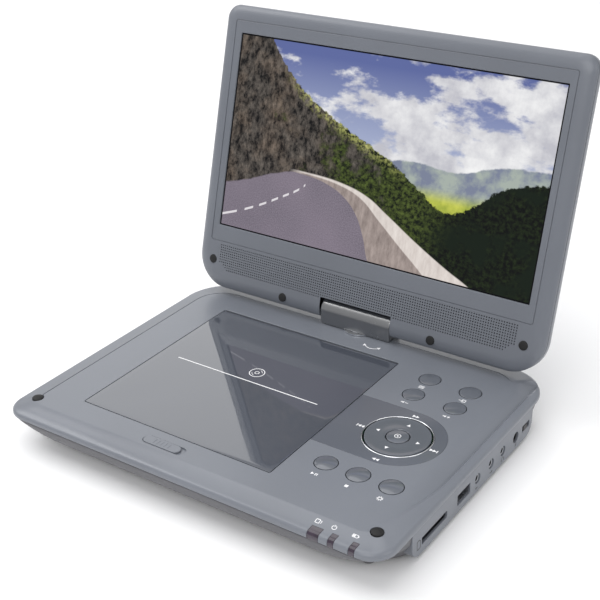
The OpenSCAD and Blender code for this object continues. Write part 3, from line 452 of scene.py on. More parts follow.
def rounded(x0, y0, x1, y1, r_low, r_high=None, steps=8, sides=1):
    """Counter-clockwise points of a rectangle with round corners, from the lower end of its right side."""
    r_high = r_low if r_high is None else r_high
    centres = [(x1 - r_high, y1 - r_high, r_high), (x0 + r_high, y1 - r_high, r_high),
               (x0 + r_low, y0 + r_low, r_low), (x1 - r_low, y0 + r_low, r_low)]
    corners = [arc(x, y, r, 90 * i, 90 * i + 90, steps) for i, (x, y, r) in enumerate(centres)]
    points = []
    for i, corner in enumerate(corners):
        points += corner + straight(corner[-1], corners[(i + 1) % 4][0], sides)
    return points


def inset_points(points, by):
    """Moves each point of a counter-clockwise outline inwards along its own normal."""
    moved = []
    count = len(points)
    for i, p in enumerate(points):
        a, b = points[i - 1], points[(i + 1) % count]
        first = Vector((p[0] - a[0], p[1] - a[1]))
        second = Vector((b[0] - p[0], b[1] - p[1]))
        if first.length < 1e-9 or second.length < 1e-9:
            first = second = first if first.length > second.length else second
        first.normalize()
        second.normalize()
        along = first + second
        along.normalize()
        reach = by / max(along.dot(first), 0.5)
        moved.append((p[0] - along.y * reach, p[1] + along.x * reach))
    return moved


def quarter(ease, turns):
    """Steps along a quarter-round edge: how far each has come inwards, and how far it is from the crown."""
    angles = [turn * math.pi / 2 for turn in turns]
    return [(ease * (1 - math.cos(a)), ease * (1 - math.sin(a))) for a in angles]


def at_height(points, z):
    return [(p[0], p[1], z) for p in points]


def at_x(points, x):
    """An outline that is drawn in y and z, at a place along x."""
    return [(x, y, z) for y, z in points]


def skin(bm, low, high):
    """A closed band of faces between two rows of vertices."""
    for i in range(len(low)):
        j = (i + 1) % len(low)
        bm.faces.new((low[i], low[j], high[j], high[i]))


def loft(bm, rings, caps=True):
    """Skins a stack of rings that have the same number of points, and closes both ends."""
    rows = [[bm.verts.new(p) for p in ring] for ring in rings]
    for low, high in zip(rows, rows[1:]):
        skin(bm, low, high)
    if caps:
        bm.faces.new(list(reversed(rows[0])))
        bm.faces.new(rows[-1])
    return rows


def turn_section(bm, centre, section, steps):
    """A ring turned from a closed section of (radius, height) points."""
    rings = [at_height(circle(centre.x, centre.y, r, steps), z) for r, z in section]
    rows = loft(bm, rings, caps=False)
    skin(bm, rows[-1], rows[0])


def box(bm, low, high, bevel=0.0):
    """A block, with its edges eased when bevel is given."""
    made = bmesh.ops.create_cube(bm, size=1.0)["verts"]
    for v in made:
        v.co = Vector([low[i] + (high[i] - low[i]) * (v.co[i] + 0.5) for i in range(3)])
    if bevel:
        edges = list(dict.fromkeys(e for v in made for e in v.link_edges))
        bmesh.ops.bevel(bm, geom=edges, offset=bevel, segments=3, profile=0.5, affect="EDGES",
                        clamp_overlap=True)


def prism(bm, points, z0, z1, ease=0.0, ease_low=0.0):
    """An upright prism of an outline, with its top and bottom edges rounded by ease and ease_low."""
    rings = []
    if ease_low:
        low_steps = quarter(ease_low, (0.0, 0.35, 0.7, 1.0))
        rings += [at_height(inset_points(points, by), z0 + above) for above, by in low_steps]
    else:
        rings.append(at_height(points, z0))
    if ease:
        top_steps = quarter(ease, (0.0, 0.3, 0.65, 1.0))
        rings += [at_height(inset_points(points, by), z1 - below) for by, below in top_steps]
    else:
        rings.append(at_height(points, z1))
    loft(bm, rings)


def flared(bm, points, z0, z1, ease):
    """A cutter: straight up to z1 less ease, then flaring out, so that it leaves a rounded lip at z1."""
    rings = [at_height(points, z0)]
    lip_steps = quarter(ease, (0.0, 0.4, 0.75, 1.0))
    rings += [at_height(inset_points(points, -by), z1 - below) for by, below in lip_steps]
    rings.append(at_height(inset_points(points, -ease), z1 + 3))
    loft(bm, rings)


def flared_down(bm, points, z, depth, ease):
    """A cutter that goes up from a surface at z, with a rounded lip."""
    rings = [at_height(inset_points(points, -ease), z - 3)]
    lip_steps = quarter(ease, (1.0, 0.75, 0.4, 0.0))
    rings += [at_height(inset_points(points, -by), z + above) for by, above in lip_steps]
    rings.append(at_height(points, z + depth))
    loft(bm, rings)


def dome(bm, at, r, z0, z1, ease, crown, steps=64):
    """A round button: straight side, rounded edge and a crowned top."""
    edge_z = z1 - crown
    profile = [(r, z0), (r, edge_z - ease)]
    profile += [(r - by, edge_z - below) for by, below in quarter(ease, (0.25, 0.5, 0.75, 1.0))]
    profile += [((r - ease) * k, z1 - crown * k * k) for k in (0.93, 0.85, 0.75, 0.62, 0.48, 0.34, 0.2, 0.08)]
    loft(bm, [at_height(circle(at.x, at.y, radius, steps), z) for radius, z in profile])


def object_of(bm, name):
    bmesh.ops.recalc_face_normals(bm, faces=bm.faces)
    mesh = bpy.data.meshes.new(name)
    bm.to_mesh(mesh)
    bm.free()
    made = bpy.data.objects.new(name, mesh)
    bpy.context.scene.collection.objects.link(made)
    return made


def carve(piece, bm, operation="DIFFERENCE"):
    """Cuts a mesh out of a piece, or joins it on, and applies the result."""
    tool = object_of(bm, "tool")
    modifier = piece.modifiers.new("carve", "BOOLEAN")
    modifier.object = tool
    modifier.operation = operation
    modifier.solver = "EXACT"
    bpy.context.view_layer.update()
    shaped = bpy.data.meshes.new_from_object(piece.evaluated_get(bpy.context.evaluated_depsgraph_get()))
    piece.modifiers.clear()
    old = piece.data
    piece.data = shaped
    bpy.data.meshes.remove(old)
    bpy.data.objects.remove(tool)


def place(piece, matrix, body, slot, material=None, stands_for=(), sharp=32.0, weighted=True):
    """Puts a finished piece in the row frame, gives it its material and lets it ride on its body."""
    piece.data.transform(matrix)
    mesh = piece.data
    for polygon in mesh.polygons:
        polygon.use_smooth = True
    mesh.set_sharp_from_angle(angle=math.radians(sharp))
    if weighted:
        modifier = piece.modifiers.new("flat faces stay flat", "WEIGHTED_NORMAL")
        modifier.keep_sharp = True
        modifier.weight = 80
    mesh.materials.clear()
    mesh.materials.append(mats[material or slot])
    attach(piece, body)
    if stands_for:
        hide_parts(*stands_for)


def blend_share(t):
    t = min(max(t, 0.0), 1.0)
    return t * t * (3 - 2 * t)


def share(value, low, high):
    """How far value has gone from low to high, as a smooth step."""
    return blend_share((value - low) / (high - low))


# ------------------------------------------------------------------ places taken from the frame
KEYS = ["menu_button", "source_button", "volume_down_button", "volume_up_button", "play_button",
        "stop_button", "setup_button"]
ring_at = centre_of("enter_button")
key_at = {name: centre_of(name) for name in KEYS}
key_low, key_high = local_box("menu_button")
KEY_R = (key_high.x - key_low.x) / 2 - 0.9
KEY_PROUD = key_high.z
door_low, door_high = local_box("disc_door")
PIN_OUT = 2.8
DOOR_X0, DOOR_X1 = door_low.x + PIN_OUT, door_high.x - PIN_OUT
DOOR_Y0, DOOR_Y1 = door_low.y, door_high.y
DOOR_T = 2.4
ROLL_R = 1.8
disc_at = centre_of("spindle_hub")
latch_low, latch_high = local_box("open_latch")
LATCH_LEN = 25.0
LATCH_R = 3.2
latch_x = (latch_low.x + latch_high.x) / 2
latch_y = latch_low.y + 4.6
foot_low, foot_high = local_box("rubber_feet")
FOOT_R = 6.0
FOOT_X = foot_high.x - FOOT_R
FOOT_Y = (foot_low.y + FOOT_R, foot_high.y - FOOT_R)
FEET = [(x, y) for x in (-FOOT_X, FOOT_X) for y in FOOT_Y]
bumper_low, bumper_high = local_box("base_bumpers")
BUMPER_R = (bumper_high.y - bumper_low.y) / 2
bumper_x, bumper_y = bumper_high.x - BUMPER_R + 0.4, bumper_low.y + BUMPER_R - 1.0
WINDOWS = [(87.2, 6.8), (97.5, 3.7), (109.3, 3.6)]
POSTS = [(-106, -156), (106, -156), (-106, -5), (106, -5), (-75, -156), (30, -156), (-75, -6), (45, -7)]
JACK_Y = (-47.5, -61.7, -77.9)
JACK_Z = -15.2
DC_Y, DC_Z = -30.9, -15.6
USB_Y, USB_Z = -93.8, -15.6
CARD_Y, CARD_Z = -126.4, -16.2
POWER_Y = -17.3
PANEL_X = 126.3


# ------------------------------------------------------------------ the base's outer skin
BASE_STEPS = 24
BASE_SIDES = 72
LIP_R = 2.2
SCOOP_X0 = 108.5
SCOOP_X1 = 122.4
LIP_FOOT = -4.5
GROOVE_AT = 13.0


def base_outline(inset):
    """Points of the base seen from above, inset from its edges."""
    return rounded(-BASE_X + inset, BASE_FRONT + inset, BASE_X - inset, BASE_REAR - inset,
                   max(FRONT_R - 0.35 * inset, 7.0), max(REAR_R - 0.35 * inset, 9.0),
                   BASE_STEPS, BASE_SIDES)


def outward(index):
    """The direction, in degrees, in which the outline faces at one of its points."""
    side, step = divmod(index, BASE_STEPS + BASE_SIDES)
    return (side * 90 + min(step, BASE_STEPS) * 90 / BASE_STEPS) % 360


def front_index(x):
    """Index of the outline's point that is nearest to x on the front edge."""
    points = base_outline(0)
    return min(range(len(points)), key=lambda i: abs(points[i][0] - x) + 10 * abs(points[i][1] - BASE_FRONT))


def lip(inset, height, r=LIP_R):
    """The rounded top edge of the side wall, up to the given height."""
    if inset >= r:
        return height
    k = 1 - inset / r
    return LIP_FOOT + (height - LIP_FOOT) * math.sqrt(max(1 - k * k, 0))


def rim_height(inset, facing):
    """Rear and left: a flat slope outside the groove, steeper along the left side."""
    leftward = share(facing, 110, 165)
    drop = 0.9 + 1.9 * leftward
    inner = GROOVE_AT - 0.4
    slope = -drop * (1 - min(max((inset - LIP_R) / (inner - LIP_R), 0), 1))
    return lip(inset, slope, LIP_R + 1.6 * (1 - leftward))


def front_height(inset, x):
    """Front: a hollow slope that starts at a crease, which is softer towards the left."""
    drop = 1.9
    t = min(max((inset - 1.6) / 10.4, 0), 1)
    crisp = -drop * (1 - t * t)
    soft = -drop * (1 - blend_share(t))
    left = share(-x, -40, 90)
    return lip(inset, crisp * (1 - left) + soft * left, LIP_R + 2.2 * left)


def scoop_height(inset, x, y):
    """Right: a hollow that narrows to a point near the front, and a ridge outside it."""
    trough = 0.86
    taper = 1 - share(y, -108, -159)
    outer = SCOOP_X0 + 4 + (SCOOP_X1 - SCOOP_X0 - 4) * math.sqrt(max(taper, 0))
    deep = 4.2 * (1 - share(y, -92, -158))
    crest = -1.0 - 0.2 * deep
    if x <= SCOOP_X0:
        return 0.0
    t = (x - SCOOP_X0) / (outer - SCOOP_X0)
    if t < trough:
        height = -deep * (t / trough) ** 1.6
    elif t < 1:
        height = -deep + (deep * 0.5) * share(t, trough, 1)
    else:
        start_z = -deep * 0.5
        edge = BASE_X - LIP_R
        k = (x - outer) / (edge - outer) if outer < edge else 1
        height = start_z + (crest - 0.75 - start_z) * min(max(k, 0), 1) ** 1.6
    return lip(inset, height)


def cover_height(index, inset, x, y):
    """Height of the top cover at a point of an inset outline."""
    facing = outward(index)
    right = 1 - share(facing, 42, 46) if facing <= 180 else share(facing, 300, 345)
    front = share(facing, 195, 240) * (1 - share(facing, 300, 345))
    rim = max(1 - right - front, 0)
    height = rim * rim_height(inset, facing) + front * front_height(inset, x)
    height += right * scoop_height(inset, x, y)
    groove = rim * (1 if 60 < facing < 200 else share(facing, 40, 60)) * share(y, -160, -156)
    if abs(inset - GROOVE_AT) < 0.2:
        height -= 0.55 * groove
    return height


# insets of the cover's rings: close together over the rounded edge and about the groove
RISE = [0.0, 0.03, 0.12, 0.28, 0.5, 0.8, 1.2, 1.7, 2.2, 2.9, 3.7, 4.5, 5.2, 5.9, 6.6, 7.4, 8.2, 9.0, 9.8,
        10.6, 11.4, 12.0, 12.5, 12.72, 12.86, 13.14, 13.28, 13.8, 14.6, 15.6, 16.8, 18.0, 19.0]


def cover_ring(inset):
    return [(x, y, cover_height(i, inset, x, y)) for i, (x, y) in enumerate(base_outline(inset))]


def base_ring(inset, z):
    return at_height(base_outline(inset), z)


def inlay_points(grow):
    """A stripe from the disc door to a round end about the direction ring."""
    x0 = DOOR_X1 + DOOR_GAP + 0.3 - grow
    half = INLAY_HALF + grow
    end = arc(ring_at.x, ring_at.y, half, -90, 90, 64)
    return end + [(x0, ring_at.y + half), (x0, ring_at.y - half)]


def latch_points(grow, travel):
    """The latch button seen from above, lengthened by how far it slides."""
    reach = LATCH_LEN / 2 - LATCH_R
    r = LATCH_R + grow
    right_end = arc(latch_x + reach + travel, latch_y, r, -90, 90, 16)
    return right_end + arc(latch_x - reach, latch_y, r, 90, 270, 16)


def door_points(grow, r):
    """The disc door's outline, grown on all sides."""
    return rounded(DOOR_X0 - grow, DOOR_Y0 - grow, DOOR_X1 + grow, DOOR_Y1 + grow, r)


def cut_cover_openings(cover):
    """Everything that opens through the top cover's surface."""
    deep = -7.0
    tool = bmesh.new()
    flared(tool, door_points(DOOR_GAP, 1.0), deep, 0.0, 0.25)
    for at in key_at.values():
        flared(tool, circle(at.x, at.y, KEY_R + KEY_GAP), deep, 0.0, 0.22)
    flared(tool, circle(ring_at.x, ring_at.y, RING_R + 1.7, 128), deep, -0.4, 0.01)
    flared(tool, latch_points(0.3, LATCH_TRAVEL), -0.9, 0.0, 0.2)
    flared(tool, circle(0, PIVOT_Y, 6.2), deep, 0.0, 0.2)
    for side in (-1, 1):
        flared(tool, circle(side * bumper_x, bumper_y, BUMPER_R + 0.05, 48), -1.0, 0.05, 0.2)
    for x, width in WINDOWS:
        box(tool, (x - width / 2, BASE_FRONT - 1, SEAM_Z - 1), (x + width / 2, BASE_FRONT + 5.6, 1))
    carve(cover, tool)
    tool = bmesh.new()
    stem = rounded(latch_x - 6.4, latch_y - 2.5, latch_x + 6.4 + LATCH_TRAVEL, latch_y + 2.5, 1.0)
    prism(tool, stem, deep, -0.5)
    box(tool, (latch_x - 15, latch_y - 5.0, deep), (latch_x + 15 + LATCH_TRAVEL, latch_y + 5.0, -2.6))
    carve(cover, tool)


def make_top_cover():
    inside = [(23.0, -2.0), (21.5, -4.9), (6.0, -5.2), (WALL + 0.2, -5.6), (WALL + 0.2, SEAM_Z)]
    outside = [(0.55, SEAM_Z), (0.2, SEAM_Z + 0.3), (0.0, -5.4)]
    bm = bmesh.new()
    loft(bm, [base_ring(inset, z) for inset, z in inside + outside] + [cover_ring(d) for d in RISE])
    cover = object_of(bm, "top_cover_moulding")
    tool = bmesh.new()
    flared(tool, inlay_points(0.08), -0.5, 0.0, 0.1)
    carve(cover, tool)
    cut_cover_openings(cover)
    place(cover, BASE, "base", "slate_plastic", stands_for=["top_cover"])


def well_cavity(bm):
    """The round hollow for the disc, with a curved foot and an eased mouth."""
    mouth_r = WELL_R + 0.3
    profile = [(WELL_FLOOR, WELL_R - 1.2), (WELL_FLOOR + 0.2, WELL_R - 0.5), (WELL_FLOOR + 0.7, WELL_R - 0.1),
               (WELL_FLOOR + 1.2, WELL_R), (LEDGE_Z - 0.3, WELL_R), (LEDGE_Z, mouth_r), (0, mouth_r)]
    loft(bm, [at_height(circle(disc_at.x, disc_at.y, r, 160), z) for z, r in profile])


def hub_and_pickup_opening():
    """Round about the disc's hub, with a slot towards the front for the pickup."""
    x, y = disc_at.x, disc_at.y
    slot_front = y - 57
    return (arc(x, y, 15, -45, 225, 40) + arc(x - 18, slot_front, 3, 180, 270, 6)
            + arc(x + 18, slot_front, 3, 270, 360, 6))


def make_disc_well():
    """The ledge under the door, the round well with its floor, and the openings for hub and pickup."""
    bm = bmesh.new()
    prism(bm, door_points(2.6, 2), LEDGE_Z - 1.4, -0.9)
    well = object_of(bm, "disc_well")
    tool = bmesh.new()
    prism(tool, circle(disc_at.x, disc_at.y, WELL_R + 1.5, 160), WELL_FLOOR - 1.4, -3.4)
    carve(well, tool, "UNION")
    tool = bmesh.new()
    box(tool, (DOOR_X0 - 2.5, DOOR_Y1 - ROLL_R - 3.4, -5.3), (DOOR_X1 + 2.5, DOOR_Y1 + 2.5, -3.2))
    carve(well, tool, "UNION")
    tool = bmesh.new()
    prism(tool, door_points(DOOR_GAP, 1), LEDGE_Z, 2)
    carve(well, tool)
    tool = bmesh.new()
    well_cavity(tool)
    carve(well, tool)
    # room for the door's rolled edge, and for the hook that goes down to the latch
    tool = bmesh.new()
    roll = circle(DOOR_Y1 - ROLL_R, -ROLL_R, ROLL_R + 0.45, 32)
    loft(tool, [at_x(roll, x) for x in (DOOR_X0 - DOOR_GAP, DOOR_X1 + DOOR_GAP)])
    box(tool, (latch_x - 5, DOOR_Y0 + 0.6, -10), (latch_x + 5, DOOR_Y0 + 4, 1))
    carve(well, tool)
    tool = bmesh.new()
    flared(tool, hub_and_pickup_opening(), -12, WELL_FLOOR, 0.3)
    carve(well, tool)
    place(well, BASE, "base", "slate_plastic", material="dark_plastic")


def undercut(t):
    """Inset of the front and rear walls at share t of the way down the lower shell."""
    return 0.4 + 17.0 * t * t


def lower_ring(t, extra=0.0, lift=0.0):
    side = 1.1 + 1.4 * t + 1.6 * share(t, 0.88, 1.0)
    front, rear = undercut(t) + extra, undercut(t) * 0.94 + extra
    points = rounded(-BASE_X + side + extra, BASE_FRONT + front, BASE_X - side - extra, BASE_REAR - rear,
                     FRONT_R + 24 * math.sin(2.36 * t), REAR_R + 12 * t, BASE_STEPS, BASE_SIDES)
    return at_height(points, (SEAM_Z - 0.35) * (1 - t) + SHELL_LOW * t + lift)


def port_cutter():
    """Everything that opens through the right-hand wall, as one cutter that points along +X."""
    ease = 0.3
    openings = [circle(DC_Y, DC_Z, 3.3, 48), rounded(USB_Y - 7.1, USB_Z - 3.2, USB_Y + 7.1, USB_Z + 3.2, 0.5),
                rounded(CARD_Y - 12.2, CARD_Z - 2.1, CARD_Y + 14.0, CARD_Z + 2.1, 0.6),
                rounded(POWER_Y - 5, JACK_Z - 1.9, POWER_Y + 4.2, JACK_Z + 1.9, 0.5)]
    openings += [circle(y, JACK_Z, 2.95, 48) for y in JACK_Y]
    bm = bmesh.new()
    for outline in openings:
        rings = [at_x(outline, 110)]
        lip_steps = quarter(ease, (0.0, 0.5, 1.0))
        rings += [at_x(inset_points(outline, -by), PANEL_X - below) for by, below in lip_steps]
        rings.append(at_x(inset_points(outline, -ease), PANEL_X + 3))
        loft(bm, rings)
    return bm


def make_bottom_shell():
    bm = bmesh.new()
    steps = [0.0, 0.03, 0.1, 0.2, 0.32, 0.45, 0.58, 0.7, 0.8, 0.88, 0.94, 0.98, 1.0]
    inner = [lower_ring(t, extra=WALL, lift=WALL * t) for t in reversed(steps)]
    outer = [lower_ring(0.0, extra=0.25)] + [lower_ring(t) for t in steps[1:]]
    loft(bm, inner + outer)
    shell = object_of(bm, "bottom_shell_moulding")
    tool = bmesh.new()
    for x, y in POSTS:
        prism(tool, circle(x, y, 3.8, 40), SHELL_LOW, SHELL_LOW + 12, ease=0.2, ease_low=0.3)
    carve(shell, tool, "UNION")
    tool = bmesh.new()
    for x, y in POSTS:
        flared_down(tool, circle(x, y, 2.9, 32), SHELL_LOW, 3.2, 0.4)
    for i in range(8):
        x = 55 + i * 6
        flared_down(tool, rounded(x, -110, x + 2, -70, 0.99, steps=5), SHELL_LOW, 4.0, 0.3)
    carve(shell, tool)
    carve(shell, port_cutter())
    place(shell, BASE, "base", "dark_plastic", stands_for=["bottom_shell"])


def panel_outline(less):
    """Outline of a port panel, seen from the side, drawn in by less."""
    return rounded(PORT_Y0 + 3.5 + less, SHELL_LOW + 0.6 + less, PORT_Y1 - 3 - less, SEAM_Z - 0.4 - less,
                   8.5 - less, max(0.9 - less, 0.2), steps=10)


def make_port_panels():
    """The upright plates on the two side walls, hollow behind, with boat-shaped lower corners."""
    outline = panel_outline(0.0)
    for side, name in ((1, "port_panel_right"), (-1, "port_panel_left")):
        rings = [at_x(outline, side * 106)]
        edge_steps = quarter(0.5, (0.0, 0.3, 0.65, 1.0))
        rings += [at_x(inset_points(outline, by), side * (PANEL_X - below)) for by, below in edge_steps]
        bm = bmesh.new()
        loft(bm, rings)
        panel = object_of(bm, name)
        tool = bmesh.new()
        loft(tool, [at_x(panel_outline(1.4), side * x) for x in (105, 124.0)])
        carve(panel, tool)
        if side > 0:
            carve(panel, port_cutter())
        place(panel, BASE, "base", "slate_plastic")


def make_inlay():
    bm = bmesh.new()
    prism(bm, inlay_points(-0.04), -0.45, -0.02, ease=0.08)
    inlay = object_of(bm, "control_inlay_film")
    tool = bmesh.new()
    flared(tool, circle(ring_at.x, ring_at.y, RING_R + 1.7, 128), -2, -0.02, 0.1)
    carve(inlay, tool)
    place(inlay, BASE, "base", "gloss_plastic", material="inlay_gloss", stands_for=["control_inlay"])


def make_windows():
    """Three tinted windows that follow the front edge from its slope down to the parting line."""
    insets = [5.4, 4.8, 4.2, 3.2, 2.4, 1.9, 1.4, 1.0, 0.65, 0.4, 0.2, 0.06, 0.0]
    lower = [(BASE_FRONT, -5.6), (BASE_FRONT + 0.25, SEAM_Z + 0.1), (BASE_FRONT + 1.9, SEAM_Z + 0.1),
             (BASE_FRONT + 2.2, -4.0), (BASE_FRONT + 5.4, -2.6)]
    for number, (x, width) in enumerate(WINDOWS):
        half = width / 2 - 0.22
        index = front_index(x)
        upper = [(BASE_FRONT + d, cover_height(index, d, x, BASE_FRONT + d)) for d in insets]
        bm = bmesh.new()
        loft(bm, [at_x(upper + lower, x + side * half) for side in (-1, 1)])
        window = object_of(bm, "front_window_%d" % (number + 1))
        place(window, BASE, "base", "window", stands_for=["front_windows"] if number == 0 else (), sharp=40)


def make_keys():
    for name in KEYS:
        at = key_at[name]
        bm = bmesh.new()
        dome(bm, at, KEY_R, -2.3, KEY_PROUD, 0.3, 0.5)
        key = object_of(bm, name + "_cap")
        bm = bmesh.new()
        prism(bm, circle(at.x, at.y, KEY_R + 0.9, 48), -3.4, -2.4, ease=0.2, ease_low=0.2)
        prism(bm, circle(at.x, at.y, 1.6, 24), local_box(name)[0].z, -3.0)
        carve(key, bm, "UNION")
        place(key, BASE, name, "slate_plastic", material="key_plastic", stands_for=[name])


def make_direction_ring():
    """The rocking ring, slightly dished, on four feet."""
    section = [(ENTER_R + 0.55, -1.6), (ENTER_R + 0.55, 0.0), (ENTER_R + 0.75, 0.22), (ENTER_R + 1.1, 0.3),
               (9.5, 0.22), (12.5, 0.2), (15.5, 0.27), (RING_R - 1.0, 0.44), (RING_R - 0.5, 0.5),
               (RING_R - 0.15, 0.38), (RING_R, 0.1), (RING_R, -1.6)]
    bm = bmesh.new()
    turn_section(bm, ring_at, section, 160)
    foot_z = local_box("direction_ring")[0].z
    for x, y in circle(ring_at.x, ring_at.y, 13.4, 4):
        prism(bm, circle(x, y, 1.4, 20), foot_z, -1.5)
    ring = object_of(bm, "direction_ring_cap")
    place(ring, BASE, "direction_ring", "slate_plastic", material="key_plastic",
          stands_for=["direction_ring"])


def make_ring_trim():
    """The bright hoop about the direction ring."""
    section = [(0.8, -1.6), (0.8, 0.1), (0.95, 0.32), (1.25, 0.4), (1.5, 0.3), (1.65, 0.05), (1.65, -1.6)]
    bm = bmesh.new()
    turn_section(bm, ring_at, [(RING_R + beyond, z) for beyond, z in section], 160)
    trim = object_of(bm, "ring_trim_hoop")
    place(trim, BASE, "base", "chrome_trim", stands_for=["ring_trim"], sharp=60)


def make_enter_button():
    bm = bmesh.new()
    dome(bm, ring_at, ENTER_R, -3.8, 0.5, 0.35, 0.2)
    enter = object_of(bm, "enter_button_cap")
    bm = bmesh.new()
    prism(bm, circle(ring_at.x, ring_at.y, 1.6, 24), local_box("enter_button")[0].z, -3.5)
    carve(enter, bm, "UNION")
    place(enter, BASE, "enter_button", "slate_plastic", material="key_plastic", stands_for=["enter_button"])


DOOR_EASE = 0.28
DOOR_AXIS_Y = DOOR_Y1 - ROLL_R


def door_bow(x, y):
    """How far the door's skin sinks at a point: very little, and unevenly."""
    u = (x - DOOR_X0) / (DOOR_X1 - DOOR_X0)
    v = (y - DOOR_Y0) / (DOOR_Y1 - DOOR_Y0)
    edge = min(u, 1 - u, v, 1 - v)
    return -0.10 * share(edge, 0.0, 0.25) * math.sin(u * 3.4 + 0.5) * math.cos(v * 2.6 - 0.3)


def door_section(x, less):
    """The door cut from front to rear at x, drawn in by less: a thin slab with a rolled rear edge."""
    rows = 44
    ease = DOOR_EASE
    front = DOOR_Y0 + less
    points = [(front + ease, -DOOR_T + less), (front, -DOOR_T + less + ease), (front, -less - ease),
              (front + ease * 0.3, -less - ease * 0.3), (front + ease, -less)]
    for i in range(1, rows):
        y = DOOR_Y0 + ease + (DOOR_AXIS_Y - DOOR_Y0 - ease) * i / rows
        points.append((y, -less + (0 if less else door_bow(x, y))))
    points += arc(DOOR_AXIS_Y, -ROLL_R, ROLL_R - less, 90, -90, 12)
    points += [(DOOR_AXIS_Y - 1.6, -DOOR_T - 0.25 + less), (DOOR_AXIS_Y - 3.0, -DOOR_T + less)]
    return at_x(points, x)


def make_disc_door():
    """The door: a thin slab, very slightly bowed, whose rear edge is rolled about its pins."""
    columns = 44
    ease = DOOR_EASE
    width = DOOR_X1 - DOOR_X0 - 2 * ease
    stations = [(DOOR_X0, ease), (DOOR_X0 + ease * 0.3, ease * 0.3), (DOOR_X0 + ease, 0)]
    stations += [(DOOR_X0 + ease + width * i / columns, 0) for i in range(1, columns)]
    stations += [(DOOR_X1 - ease, 0), (DOOR_X1 - ease * 0.3, ease * 0.3), (DOOR_X1, ease)]
    bm = bmesh.new()
    loft(bm, [door_section(x, less) for x, less in stations])
    door = object_of(bm, "disc_door_lid")
    tool = bmesh.new()
    prism(tool, circle(disc_at.x, disc_at.y, 12, 48), -DOOR_T - 1, -DOOR_T + 0.9)
    carve(door, tool)
    place(door, BASE, "disc_door", "gloss_plastic", stands_for=["disc_door"])


def make_door_fittings():
    """The door's pins, the rib round the hub's hollow, and the hook that the latch holds."""
    bm = bmesh.new()
    for side, end in ((-1, DOOR_X0), (1, DOOR_X1)):
        profile = ((-0.6, 0.9), (2.5, 0.9), (2.75, 0.65))
        loft(bm, [at_x(circle(DOOR_AXIS_Y, -ROLL_R, r, 24), end + side * reach) for reach, r in profile])
    low, high = -DOOR_T - 0.35, -DOOR_T + 0.3
    turn_section(bm, disc_at, [(14.2, low), (14.2, high), (15.4, high), (15.4, low)], 64)
    hook = [(-4, -2.5, -7.4, -2.0), (2.5, 4, -7.4, -2.0), (-4, 4, -7.4, -6.5), (-4, 4, -4.3, -2.0)]
    for left, right, z0, z1 in hook:
        box(bm, (latch_x + left, DOOR_Y0 + 1, z0), (latch_x + right, DOOR_Y0 + 2.8, z1), 0.2)
    place(object_of(bm, "disc_door_fittings"), BASE, "disc_door", "gloss_plastic")


def make_latch():
    """The ribbed button, its stem, the slide under the cover and the tongue for the door's hook."""
    bm = bmesh.new()
    prism(bm, latch_points(0.0, 0.0), -0.8, 0.35, ease=0.4)
    box(bm, (latch_x - 6, latch_y - 2.2, -3.3), (latch_x + 6, latch_y + 2.2, -0.7))
    for i in range(5):
        x = latch_x - 5 + i * 2.5
        prism(bm, rounded(x - 0.3, latch_y - 1.9, x + 0.3, latch_y + 1.9, 0.29, steps=4), 0.2, 0.5, ease=0.12)
    box(bm, (latch_x - 14.5, latch_y - 4.6, -4.4), (latch_x + 14.5, latch_y + 4.6, -3.1), 0.3)
    for rear, top in ((latch_high.y, -4.6), (latch_y + 4.6, -3.8)):
        box(bm, (latch_x - 1.5, latch_y + 3, -6.2), (latch_x + 1.5, rear, top), 0.2)
    latch = object_of(bm, "open_latch_slider")
    place(latch, BASE, "open_latch", "slate_plastic", stands_for=["open_latch"])


def make_base_rubber():
    bm = bmesh.new()
    for side in (-1, 1):
        dome(bm, Vector((side * bumper_x, bumper_y, 0)), BUMPER_R - 0.3, -0.9, 1.0, 0.7, 0.6, 48)
    place(object_of(bm, "base_bumper_studs"), BASE, "base", "rubber", stands_for=["base_bumpers"])
    bm = bmesh.new()
    # down the foot's side, across its sole, and up into the hollow in its middle
    profile = [(SHELL_LOW + 1, 6.0), (-25.2, 6.0), (-25.7, 5.8), (-26.0, 5.3), (-26.0, 3.4), (-25.6, 3.0),
               (-25.6, 0.6)]
    for x, y in FEET:
        loft(bm, [at_height(circle(x, y, r, 48), z) for z, r in profile])
    place(object_of(bm, "rubber_foot_pads"), BASE, "base", "rubber", stands_for=["rubber_feet"])


# ------------------------------------------------------------------ hinge head
BARREL_FOOT = -PIVOT_Z + 0.4
PARTING = 0.06


def barrel_section(half, less):
    """One half of the barrel's wall, cut across, drawn in by less; half is -1 at the front and 1 behind."""
    r = BARREL_R - less
    inner_r = BARREL_R - 1.5
    outer = [(half * abs(y), z) for z, y in arc(0, 0, r, 0, 90, 18)]
    outer += [(half * r, BARREL_FOOT + 1.2 + less), (half * (r - 0.35), BARREL_FOOT + 0.3 + less),
              (half * (r - 1.2), BARREL_FOOT + less)]
    inner = [(half * (inner_r - 0.2), BARREL_FOOT + 0.2 + less), (half * inner_r, 0.0)]
    inner += [(half * y, z) for y, z in arc(0, 0, inner_r, 10, 90, 8)]
    whole = [(half * PARTING, r)] + outer[1:] + inner
    return [(y if abs(y) > PARTING else half * PARTING, z + PIVOT_Z) for y, z in whole]


def barrel_cheek(half):
    """The end plate of one half, open about the pin."""
    r = BARREL_R - 0.9
    pin_r = 2.6
    parting = half * PARTING
    cheek = [(half * max(PARTING, y), z) for z, y in arc(0, 0, r, 0, 90, 15)]
    cheek += [(half * r, BARREL_FOOT + 0.6), (parting, BARREL_FOOT + 0.6), (parting, -pin_r)]
    cheek += [(half * max(PARTING, y), z) for z, y in arc(0, 0, pin_r, 180, 0, 12)]
    return [(y, z + PIVOT_Z) for y, z in cheek]


